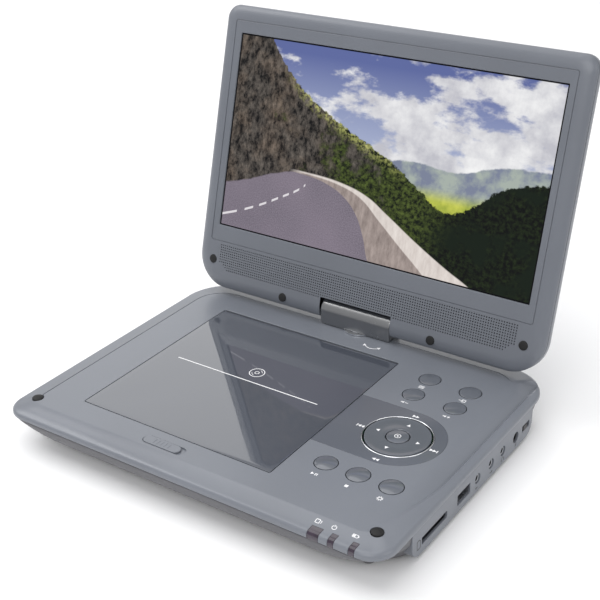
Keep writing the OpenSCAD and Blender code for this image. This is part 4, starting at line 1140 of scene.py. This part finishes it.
def make_hinge_covers():
    """The barrel's two halves: a round top on upright sides, split along the top."""
    end_steps = [(0.0, 0.7), (0.12, 0.3), (0.4, 0.08), (0.8, 0.0)]
    stations = [(-BARREL_HALF + inward, less) for inward, less in end_steps]
    stations += [(BARREL_HALF - inward, less) for inward, less in reversed(end_steps)]
    for half, name in ((-1, "hinge_front_cover"), (1, "hinge_rear_cover")):
        bm = bmesh.new()
        loft(bm, [at_x(barrel_section(half, less), x) for x, less in stations])
        for side in (-1, 1):
            loft(bm, [at_x(barrel_cheek(half), side * x) for x in (BARREL_HALF - 0.25, BARREL_HALF - 1.6)])
        cover = object_of(bm, name + "_moulding")
        tool = bmesh.new()
        prism(tool, circle(0, 0, 10.4, 64), -3, 1.15)
        carve(cover, tool)
        place(cover, HEAD, "hinge_head", "slate_plastic", material="barrel_plastic", stands_for=[name])


# ------------------------------------------------------------------ display
def lid_ring(z, side, low=None, high=None):
    """The display's outline at height z, drawn in at its sides, its lower edge and its upper edge."""
    low = side if low is None else low
    high = side if high is None else high
    return at_height(rounded(-LID_X + side, LID_LOW + low, LID_X - side, LID_TOP - high,
                             max(22.0 - max(side, low) * 0.6, 4), max(9.0 - max(side, high) * 0.4, 3),
                             steps=20, sides=2), z)


def seam_ring(grow, z):
    return at_height(rounded(-SEAM_X - grow, SEAM_Y0 - grow, SEAM_X + grow, SEAM_Y1 + grow, 1.6 + grow,
                             steps=20, sides=2), z)


def window_ring(grow, z):
    return at_height(rounded(-SCREEN_X - grow, SCREEN_Y0 - grow, SCREEN_X + grow, SCREEN_Y1 + grow,
                             0.6 + grow, steps=20, sides=2), z)


def bezel_rings():
    """Rings from inside the bezel, round its rim, over the seam and down to the screen."""
    rings = [window_ring(1.5, LID_SPLIT + 2.2), lid_ring(LID_SPLIT + 2.2, 2.2), lid_ring(LID_SPLIT, 2.2),
             lid_ring(LID_SPLIT + 0.15, 0.5), lid_ring(LID_SPLIT + 0.4, 0.25)]
    for degrees in (90, 80, 70, 60, 50, 40, 32, 24, 16, 9, 4, 0):
        a = math.radians(degrees)
        inward = 1 - math.sin(a)
        rings.append(lid_ring(4.2 + 3.8 * math.cos(a), 7.5 * inward, 8.5 * inward, 7.5 * inward))
    seam = [(0.3, 8.0), (0.1, 7.92), (0.04, 7.5), (-0.26, 7.5), (-0.32, 7.86), (-0.5, 7.96)]
    edge = [(0.75, 7.42), (0.45, 7.36), (0.2, 7.25), (0.05, 7.02), (0.0, 6.8), (0.0, 6.4), (1.5, 6.3)]
    return rings + [seam_ring(grow, z) for grow, z in seam] + [window_ring(grow, z) for grow, z in edge]


def grille_outline(grow):
    """The perforated area: straight along the top, with its lower corners cut away."""
    beside, above = NOTCH_X + 0.95, NOTCH_Y + 0.4
    right = [(beside, above), (beside, GRILLE_Y0 - grow), (GRILLE_X - 9 + grow * 0.4, GRILLE_Y0 - grow),
             (GRILLE_X + grow, 12.0), (GRILLE_X + grow, GRILLE_Y1 + grow)]
    return [(-x, y) for x, y in reversed(right)][1:] + right + [(-GRILLE_X - grow, GRILLE_Y1 + grow)]


def lid_bumpers():
    low, high = local_box("bezel_bumpers", LID)
    r = 2.8
    return [(-high.x + r, high.y - r), (high.x - r, high.y - r), (-54.2, low.y + r), (54.2, low.y + r)]


def make_bezel():
    """The front shell: a pillowed rim, a thin seam, and a frame that slopes to the screen."""
    bm = bmesh.new()
    rows = loft(bm, bezel_rings(), caps=False)
    skin(bm, rows[-1], rows[0])
    bezel = object_of(bm, "screen_bezel_moulding")
    tool = bmesh.new()
    prism(tool, grille_outline(0.0), 0, 12)
    carve(bezel, tool)
    tool = bmesh.new()
    box(tool, (-NOTCH_X, -20, -2), (NOTCH_X, NOTCH_Y, 12))
    for x, y in lid_bumpers():
        flared(tool, circle(x, y, 2.85, 32), 6.6, 7.95, 0.15)
    carve(bezel, tool)
    place(bezel, LID, "display", "slate_plastic", material="bezel_plastic", stands_for=["screen_bezel"])


def is_perforated(x, y):
    """Whether the cell about a point has a hole: the lower corners have none."""
    reach = GRILLE_X - 1.0 - max(0.0, (12.0 - y) * 9 / (12.0 - GRILLE_Y0))
    return abs(x) < reach and GRILLE_Y0 + 0.9 < y < GRILLE_Y1


def perforated_cell(bm, square, x, y):
    """A square cell with an eight-sided hole: its face, and the hole's wall."""
    turned = arc(x, y, HOLE_R, -67.5, 247.5, 7)
    mouth = [bm.verts.new((a, b, LID_HALF - 0.05)) for a, b in turned]
    foot = [bm.verts.new((a, b, LID_HALF - 1.0)) for a, b in turned]
    for k in range(4):
        here, after = square[k], square[(k + 1) % 4]
        first, second, third = mouth[2 * k], mouth[2 * k + 1], mouth[(2 * k + 2) % 8]
        bm.faces.new((here, second, first))
        bm.faces.new((here, after, third, second))
    for k in range(8):
        j = (k + 1) % 8
        bm.faces.new((mouth[k], foot[k], foot[j], mouth[j]))


def make_grille():
    """The perforated sheet in front of the loudspeakers, one square cell after another."""
    bm = bmesh.new()
    corners = {}

    def corner(x, y):
        key = (round(x, 3), round(y, 3))
        if key not in corners:
            corners[key] = bm.verts.new((x, y, LID_HALF - 0.01))
        return corners[key]

    half = HOLE_PITCH / 2
    rows = int((GRILLE_Y1 - GRILLE_Y0) / HOLE_PITCH) + 2
    columns = int(GRILLE_X / HOLE_PITCH) + 1
    for row in range(rows):
        y = GRILLE_Y1 + 0.2 - HOLE_PITCH * row
        for column in range(-columns, columns + 1):
            x = column * HOLE_PITCH
            if abs(x) < NOTCH_X + 0.85 and y < NOTCH_Y + 0.85:
                continue
            square = [corner(x + a * half, y + b * half) for a, b in ((1, -1), (1, 1), (-1, 1), (-1, -1))]
            if is_perforated(x, y):
                perforated_cell(bm, square, x, y)
            else:
                bm.faces.new(square)
    sheet = object_of(bm, "speaker_grille")
    place(sheet, LID, "display", "slate_plastic", material="bezel_plastic", sharp=30, weighted=False)
    bm = bmesh.new()
    prism(bm, grille_outline(0.6), LID_HALF - 2.4, LID_HALF - 1.0)
    backing = object_of(bm, "grille_backing")
    place(backing, LID, "display", "slate_plastic", material="speaker_cloth", sharp=30, weighted=False)


def make_lid_rubber():
    bm = bmesh.new()
    for x, y in lid_bumpers():
        dome(bm, Vector((x, y, 0)), 2.8, 6.9, 8.6, 0.45, 0.2, 32)
    place(object_of(bm, "bezel_bumper_studs"), LID, "display", "rubber", stands_for=["bezel_bumpers"])


def make_back_cover():
    """The rear shell, pillowed to a flat back."""
    inner = [lid_ring(-LID_HALF + 1.6, 12), lid_ring(-5.4, 5), lid_ring(-2.0, 2.4),
             lid_ring(LID_SPLIT - 0.25, 2.2)]
    outer = [lid_ring(LID_SPLIT - 0.25, 0.45), lid_ring(LID_SPLIT - 0.5, 0.15),
             lid_ring(LID_SPLIT - 1.0, 0.0)]
    for degrees in range(0, 91, 7):
        a = math.radians(degrees)
        k = 1 - math.cos(a)
        z = -0.2 - (LID_BACK - 0.2) * math.sin(a) ** 0.9
        outer.append(lid_ring(z, 12 * k, 9 * k, 12 * k))
    outer.append(lid_ring(-LID_BACK, 13, 10, 13))
    bm = bmesh.new()
    loft(bm, inner + outer)
    back = object_of(bm, "back_cover_moulding")
    tool = bmesh.new()
    box(tool, (-NOTCH_X, -20, -20), (NOTCH_X, NOTCH_Y, 20))
    for side in (-1, 1):
        loft(tool, [at_x(circle(0, 0, 4.05, 24), side * 34.2 + dx) for dx in (-6, 6)])
    carve(back, tool)
    place(back, LID, "display", "dark_plastic", material="back_plastic", stands_for=["screen_back_cover"])


def make_notch_walls():
    """Cheeks that close the shells at both sides of the hinge barrel, and the wall above it."""
    outer_x = NOTCH_X + 1.5
    section = [(-3.0, -5.5), (-3.6, 0.0), (-3.0, 5.0), (-0.5, 6.9), (3.0, 7.6), (NOTCH_Y + 1.5, 7.6),
               (NOTCH_Y + 1.5, -7.4), (2.0, -7.0)]
    bm = bmesh.new()
    for low, high in ((-outer_x, -NOTCH_X), (NOTCH_X, outer_x)):
        loft(bm, [at_x(section, x) for x in (low, high)])
    box(bm, (-outer_x, NOTCH_Y, -7.4), (outer_x, NOTCH_Y + 1.5, 7.6), 0.1)
    walls = object_of(bm, "notch_walls")
    tool = bmesh.new()
    loft(tool, [at_x(circle(0, 0, 2.85, 30), x) for x in (-60, 60)])
    carve(walls, tool)
    # near-black: painted shade for the dark gap between the barrel and the lid
    place(walls, LID, "display", "black_plastic")


def make_screen():
    """The display panel: the lit picture with its dark edge, under a satin front film."""
    bm = bmesh.new()
    frame_points = rounded(-SCREEN_X - 2, SCREEN_Y0 - 2, SCREEN_X + 2, SCREEN_Y1 + 2, 1)
    loft(bm, [at_height(frame_points, z) for z in (GLASS_Z - 1.6, GLASS_Z - 0.2)], caps=False)
    layer = bm.loops.layers.uv.new("picture")
    corners = ((-SCREEN_X, SCREEN_Y0), (SCREEN_X, SCREEN_Y0), (SCREEN_X, SCREEN_Y1), (-SCREEN_X, SCREEN_Y1))
    face = bm.faces.new([bm.verts.new((x, y, GLASS_Z)) for x, y in corners])
    for loop in face.loops:
        across = (loop.vert.co.x + SCREEN_X) / (2 * SCREEN_X)
        up = (loop.vert.co.y - SCREEN_Y0) / (SCREEN_Y1 - SCREEN_Y0)
        loop[layer].uv = (across, up)
    panel = object_of(bm, "lcd_front")
    place(panel, LID, "display", "screen_glass", stands_for=["lcd_panel"], weighted=False)


# ------------------------------------------------------------------ printed marks
def triangle(x, y, size, turn=0):
    """A filled arrowhead that points along turn, in degrees."""
    points = [(-0.42, -0.5), (0.5, 0.0), (-0.42, 0.5)]
    c, s = math.cos(math.radians(turn)), math.sin(math.radians(turn))
    return [(x + size * (a * c - b * s), y + size * (a * s + b * c)) for a, b in points]


def bar(x, y, width, height):
    x0, y0 = x - width / 2, y - height / 2
    x1, y1 = x + width / 2, y + height / 2
    return [(x0, y0), (x1, y0), (x1, y1), (x0, y1)]


def stroke(points, width):
    """A line of even width along a path, as quads."""
    quads = []
    for a, b in zip(points, points[1:]):
        d = Vector((b[0] - a[0], b[1] - a[1])).normalized() * width / 2
        n = Vector((-d.y, d.x))
        quads.append([(a[0] - n.x, a[1] - n.y), (b[0] - n.x, b[1] - n.y),
                      (b[0] + n.x, b[1] + n.y), (a[0] + n.x, a[1] + n.y)])
    return quads


def hoop(x, y, r, width, start_deg=0, end_deg=360, steps=40):
    return stroke(arc(x, y, r, start_deg, end_deg, steps), width)


def level(z):
    """A surface of one height, for print_marks."""
    return lambda x, y: z


def print_marks(name, shapes, body, surface=level(0.0), matrix=BASE, material="print", slot="slate_plastic"):
    """Thin raised films of ink on a surface, whose height is given for each point."""
    bm = bmesh.new()
    for points in shapes:
        area = sum(a[0] * b[1] - b[0] * a[1] for a, b in zip(points, points[1:] + points[:1]))
        points = points if area > 0 else list(reversed(points))
        low = [bm.verts.new((x, y, surface(x, y) - 0.02)) for x, y in points]
        top = [bm.verts.new((x, y, surface(x, y) + INK)) for x, y in points]
        bm.faces.new(top)
        skin(bm, low, top)
    place(object_of(bm, name), matrix, body, slot, material=material, sharp=20, weighted=False)


def skip_icon(x, y, turn):
    """Two arrowheads and a bar: next or previous track."""
    s = 1 if turn == 0 else -1
    heads = [triangle(x - s * 1.9, y, 2.2, turn), triangle(x + s * 0.1, y, 2.2, turn)]
    return heads + [bar(x + s * 1.6, y, 0.5, 2.2)]


def play_icon(x, y):
    """Play and pause: an arrowhead and two bars."""
    return [triangle(x - 0.9, y, 2.0), bar(x + 0.9, y, 0.5, 1.9), bar(x + 1.9, y, 0.5, 1.9)]


def setup_icon(x, y):
    """Settings: a ring with eight teeth."""
    shapes = hoop(x, y, 1.0, 0.5, steps=24)
    for near, far in zip(circle(x, y, 1.1, 8), circle(x, y, 1.8, 8)):
        shapes += stroke([near, far], 0.5)
    return shapes


def source_icon(x, y):
    """An arrow into a frame."""
    frame_path = [(x - 0.4, y + 1.2), (x + 1.9, y + 1.2), (x + 1.9, y - 1.2), (x - 0.4, y - 1.2)]
    return stroke(frame_path, 0.4) + [bar(x - 1.3, y, 1.8, 0.4), triangle(x + 0.3, y, 1.5)]


def volume_icon(x, y, plus):
    """A loudspeaker with a minus or a plus."""
    shapes = [bar(x - 1.9, y, 0.8, 1.0), triangle(x - 1.2, y, 1.9, 180), bar(x + 1.2, y, 1.9, 0.42)]
    if plus:
        shapes += [bar(x + 1.2, y + 0.58, 0.42, 0.74), bar(x + 1.2, y - 0.58, 0.42, 0.74)]
    return shapes


def make_base_prints():
    """The icons beside the ring, below the seven keys, and beside the hinge."""
    c = ring_at
    below = {name: key_at[name].y - (11.6 if key_at[name].y < c.y else 10.2) for name in KEYS}
    shapes = skip_icon(c.x - 23.3, c.y - 1.3, 180) + skip_icon(c.x + 23.3, c.y - 1.5, 0)
    shapes += [triangle(c.x - 2.4, c.y + 22.6, 2.2), triangle(c.x - 0.3, c.y + 22.6, 2.2)]
    shapes += [triangle(c.x + 1.7, c.y - 24.4, 2.2, 180), triangle(c.x - 0.4, c.y - 24.4, 2.2, 180)]
    shapes += play_icon(key_at["play_button"].x, below["play_button"])
    shapes += [bar(key_at["stop_button"].x, below["stop_button"], 1.9, 1.9)]
    shapes += setup_icon(key_at["setup_button"].x, below["setup_button"])
    shapes += [bar(key_at["menu_button"].x, below["menu_button"] + k, 3.6, 0.45) for k in (-1.0, 0.0, 1.0)]
    shapes += source_icon(key_at["source_button"].x, below["source_button"])
    for name, plus in (("volume_down_button", False), ("volume_up_button", True)):
        shapes += volume_icon(key_at[name].x, below[name], plus)
    # swivel: a curved arrow beside the hinge
    shapes += hoop(18.2, -5.0, 6.0, 0.5, 222, 322, 16)
    shapes += [triangle(23.3, -8.2, 2.4, 60), triangle(13.1, -8.6, 2.4, 122)]
    print_marks("base_icons", shapes, "base")


def closed_stroke(x0, y0, x1, y1, width):
    """The outline of a rectangle, as strokes."""
    return stroke([(x0, y0), (x1, y0), (x1, y1), (x0, y1), (x0, y0)], width)


def make_front_prints():
    """Receiver, power and battery icons behind the front windows."""
    ir_x, power_x, battery_x = [x for x, _ in WINDOWS]
    y = BASE_FRONT + 8.8
    shapes = closed_stroke(ir_x - 3.4, y - 1.1, ir_x - 1.2, y + 1.1, 0.35)
    shapes += hoop(ir_x - 1.2, y, 1.1, 0.35, -50, 50, 8)
    shapes += hoop(power_x - 3.0, y, 1.2, 0.35, 120, 420, 24) + [bar(power_x - 3.0, y + 1.0, 0.35, 1.3)]
    shapes += closed_stroke(battery_x - 4.3, y - 0.8, battery_x - 1.3, y + 0.8, 0.3)
    shapes += [bar(battery_x - 3.4, y, 1.3, 1.0), bar(battery_x - 0.9, y, 0.4, 0.8)]
    index = front_index(100)
    print_marks("front_icons", shapes, "base", lambda x, py: cover_height(index, py - BASE_FRONT, x, py))


def make_ring_prints():
    c = ring_at
    tips = zip((0, 90, 180, 270), circle(c.x, c.y, 12.5, 4))
    shapes = [triangle(x, y, 2.3, turn) for turn, (x, y) in tips]
    print_marks("ring_arrows", shapes, "direction_ring", level(0.21))
    shapes = hoop(c.x, c.y, 1.7, 0.4, steps=32) + [circle(c.x, c.y, 0.6, 16)]

    def crowned(x, y):
        return 0.5 - 0.2 * ((x - c.x) ** 2 + (y - c.y) ** 2) / 36

    print_marks("enter_mark", shapes, "enter_button", crowned)


def make_door_prints():
    x0, x1 = DOOR_X0 + 13.5, DOOR_X1 - 15.5
    y = disc_at.y + 1.6
    shapes = [bar((x0 + x1) / 2, y, x1 - x0, 0.7)]
    # a plain disc emblem above the line
    cx, cy = disc_at.x, disc_at.y + 12.0
    shapes += hoop(cx, cy, 4.6, 0.5, steps=56) + hoop(cx, cy, 1.3, 0.45, steps=28)
    shapes += hoop(cx, cy, 3.1, 0.28, 20, 80, 12) + hoop(cx, cy, 3.1, 0.28, 200, 260, 12)
    print_marks("door_marks", shapes, "disc_door", slot="gloss_plastic")


# a drawing's x, y and z become y, z and x: it then lies on the right-hand wall
SIDEWAYS = Matrix(((0, 0, 1, 0), (1, 0, 0, 0), (0, 1, 0, 0), (0, 0, 0, 1)))


def make_port_prints():
    """Small outline icons beside the openings, on the right-hand panel."""
    z = JACK_Z - 5.4
    # card, with a cut corner
    near, far = CARD_Y - 17.2, CARD_Y - 13.9
    card = [(near, CARD_Z - 2.6), (far, CARD_Z - 2.6), (far, CARD_Z + 1.5), (far - 1.1, CARD_Z + 2.6),
            (near, CARD_Z + 2.6), (near, CARD_Z - 2.6)]
    shapes = stroke(card, 0.4)
    # headphones, then an arrow out and an arrow in
    ear = JACK_Y[0]
    shapes += hoop(ear, z, 1.4, 0.35, 0, 180, 14)
    shapes += [bar(ear - 1.4, z - 0.5, 0.7, 1.2), bar(ear + 1.4, z - 0.5, 0.7, 1.2)]
    for at, turn, tip in ((JACK_Y[1], 0, 0.9), (JACK_Y[2], 180, -1.9)):
        shapes += [bar(at - 0.7, z, 1.8, 0.4), triangle(at + tip, z, 1.6, turn)]
    # a bolt of three strokes for the power inlet
    bolt = [(DC_Y + 0.7, z + 1.4), (DC_Y - 0.7, z), (DC_Y + 0.7, z), (DC_Y - 0.7, z - 1.4)]
    shapes += stroke(bolt, 0.38)
    to_panel = BASE @ Matrix.Translation((PANEL_X, 0, 0)) @ SIDEWAYS
    print_marks("port_icons", shapes, "base", matrix=to_panel, material="dark_print")


# ------------------------------------------------------------------ metal and moulded parts around the ports
def make_port_fittings():
    """Bright sleeves in the jacks, and two black lips that nearly close the card slot, as painted shade for
    the dark inside of the slot.
    """
    bm = bmesh.new()
    # black plates recessed in the card slot: painted shade for its dark inside
    for z0, z1 in ((-2.6, -0.3), (0.3, 2.6)):
        box(bm, (121.4, CARD_Y - 12.8, CARD_Z + z0), (123.0, CARD_Y + 14.8, CARD_Z + z1), 0.2)
    place(object_of(bm, "card_slot_shade_lips"), BASE, "base", "black_plastic")
    section = [(1.86, 124.0), (1.86, 125.3), (2.1, 125.45), (2.6, 125.4), (2.75, 125.25), (2.75, 124.0)]
    bm = bmesh.new()
    for y in JACK_Y:
        turn_section(bm, Vector((y, JACK_Z)), section, 40)
    sleeves = object_of(bm, "jack_sleeves")
    sleeves.data.transform(SIDEWAYS)
    place(sleeves, BASE, "base", "steel", sharp=50)


def dress_cad_nodes():
    """The CAD nodes that stay take the material of their own slot, and the turntable disc is polished."""
    for node in nodes.values():
        if not node.hide_render:
            used = node.data.materials[0].name.split(".")[0] if node.data.materials else "steel"
            node.data.materials.clear()
            node.data.materials.append(mats.get(used, mats["steel"]))
    nodes["turntable_disc"].data.materials[0] = mats["chrome_trim"]


make_top_cover()
make_disc_well()
make_bottom_shell()
make_port_panels()
make_inlay()
make_windows()
make_keys()
make_direction_ring()
make_ring_trim()
make_enter_button()
make_disc_door()
make_door_fittings()
make_latch()
make_base_rubber()
make_hinge_covers()
make_bezel()
make_grille()
make_lid_rubber()
make_back_cover()
make_notch_walls()
make_screen()
make_base_prints()
make_front_prints()
make_ring_prints()
make_door_prints()
make_port_prints()
make_port_fittings()
dress_cad_nodes()


# ------------------------------------------------------------------ stage, light and camera
def make_stage():
    bm = bmesh.new()
    bm.faces.new([bm.verts.new((x, y, 0)) for x, y in bar(0, 0, 12.0, 12.0)])
    floor = object_of(bm, "studio_floor")
    material, g, shader, at = start("studio_floor", Roughness=0.9)
    g.put(shader.inputs["Base Color"], g.mix(g.noise(at, 3.0), rgb(242, 242, 243), rgb(248, 248, 249)))
    floor.data.materials.append(material)


def make_world():
    """Even white light from all around, and plain colours in the picture."""
    world = bpy.data.worlds.new("studio")
    world.use_nodes = True
    background = world.node_tree.nodes["Background"]
    background.inputs["Color"].default_value = (1, 1, 1, 1)
    background.inputs["Strength"].default_value = 0.6
    bpy.context.scene.world = world
    bpy.context.scene.view_settings.view_transform = "Standard"


def make_light(name, at, size, power):
    """A rectangular lamp that points at the player."""
    aim = Vector((0, -0.02, 0.06))
    data = bpy.data.lights.new(name, "AREA")
    data.shape = "RECTANGLE"
    data.size, data.size_y = size
    data.energy = power
    lamp = bpy.data.objects.new(name, data)
    lamp.location = at
    lamp.rotation_euler = (aim - Vector(at)).to_track_quat("-Z", "Y").to_euler()
    bpy.context.scene.collection.objects.link(lamp)


def make_camera():
    """The photograph's viewpoint: turned 35 degrees to the right and 27 degrees down."""
    yaw, pitch, roll = math.radians(34.99), math.radians(27.12), math.radians(-1.49)
    forward = Vector((-math.sin(yaw) * math.cos(pitch), math.cos(yaw) * math.cos(pitch), -math.sin(pitch)))
    right = Vector((math.cos(yaw), math.sin(yaw), 0))
    up = right.cross(forward)
    rolled = right * math.cos(roll) + up * math.sin(roll)
    upright = up * math.cos(roll) - right * math.sin(roll)
    eye = (0.3474, -0.4959, 0.3852)
    data = bpy.data.cameras.new("camera")
    data.lens = 71.16
    data.sensor_width = 36.0
    data.clip_start, data.clip_end = 0.01, 50
    camera = bpy.data.objects.new("camera", data)
    turn = Matrix((rolled, upright, -forward)).transposed().to_4x4()
    camera.matrix_world = Matrix.Translation(eye) @ turn
    bpy.context.scene.collection.objects.link(camera)
    bpy.context.scene.camera = camera


make_stage()
make_world()
make_light("overhead_light", (-0.35, 0.05, 1.65), (1.9, 1.9), 15)
make_light("key_light", (-1.1, -0.2, 1.1), (0.8, 0.8), 6)
make_light("back_light", (-1.1, 1.5, 0.9), (1.6, 0.9), 5)
make_light("side_light", (1.5, -0.1, 0.8), (0.9, 0.7), 4)
make_light("front_light", (0.3, -1.4, 1.2), (1.2, 0.8), 9)
make_camera()
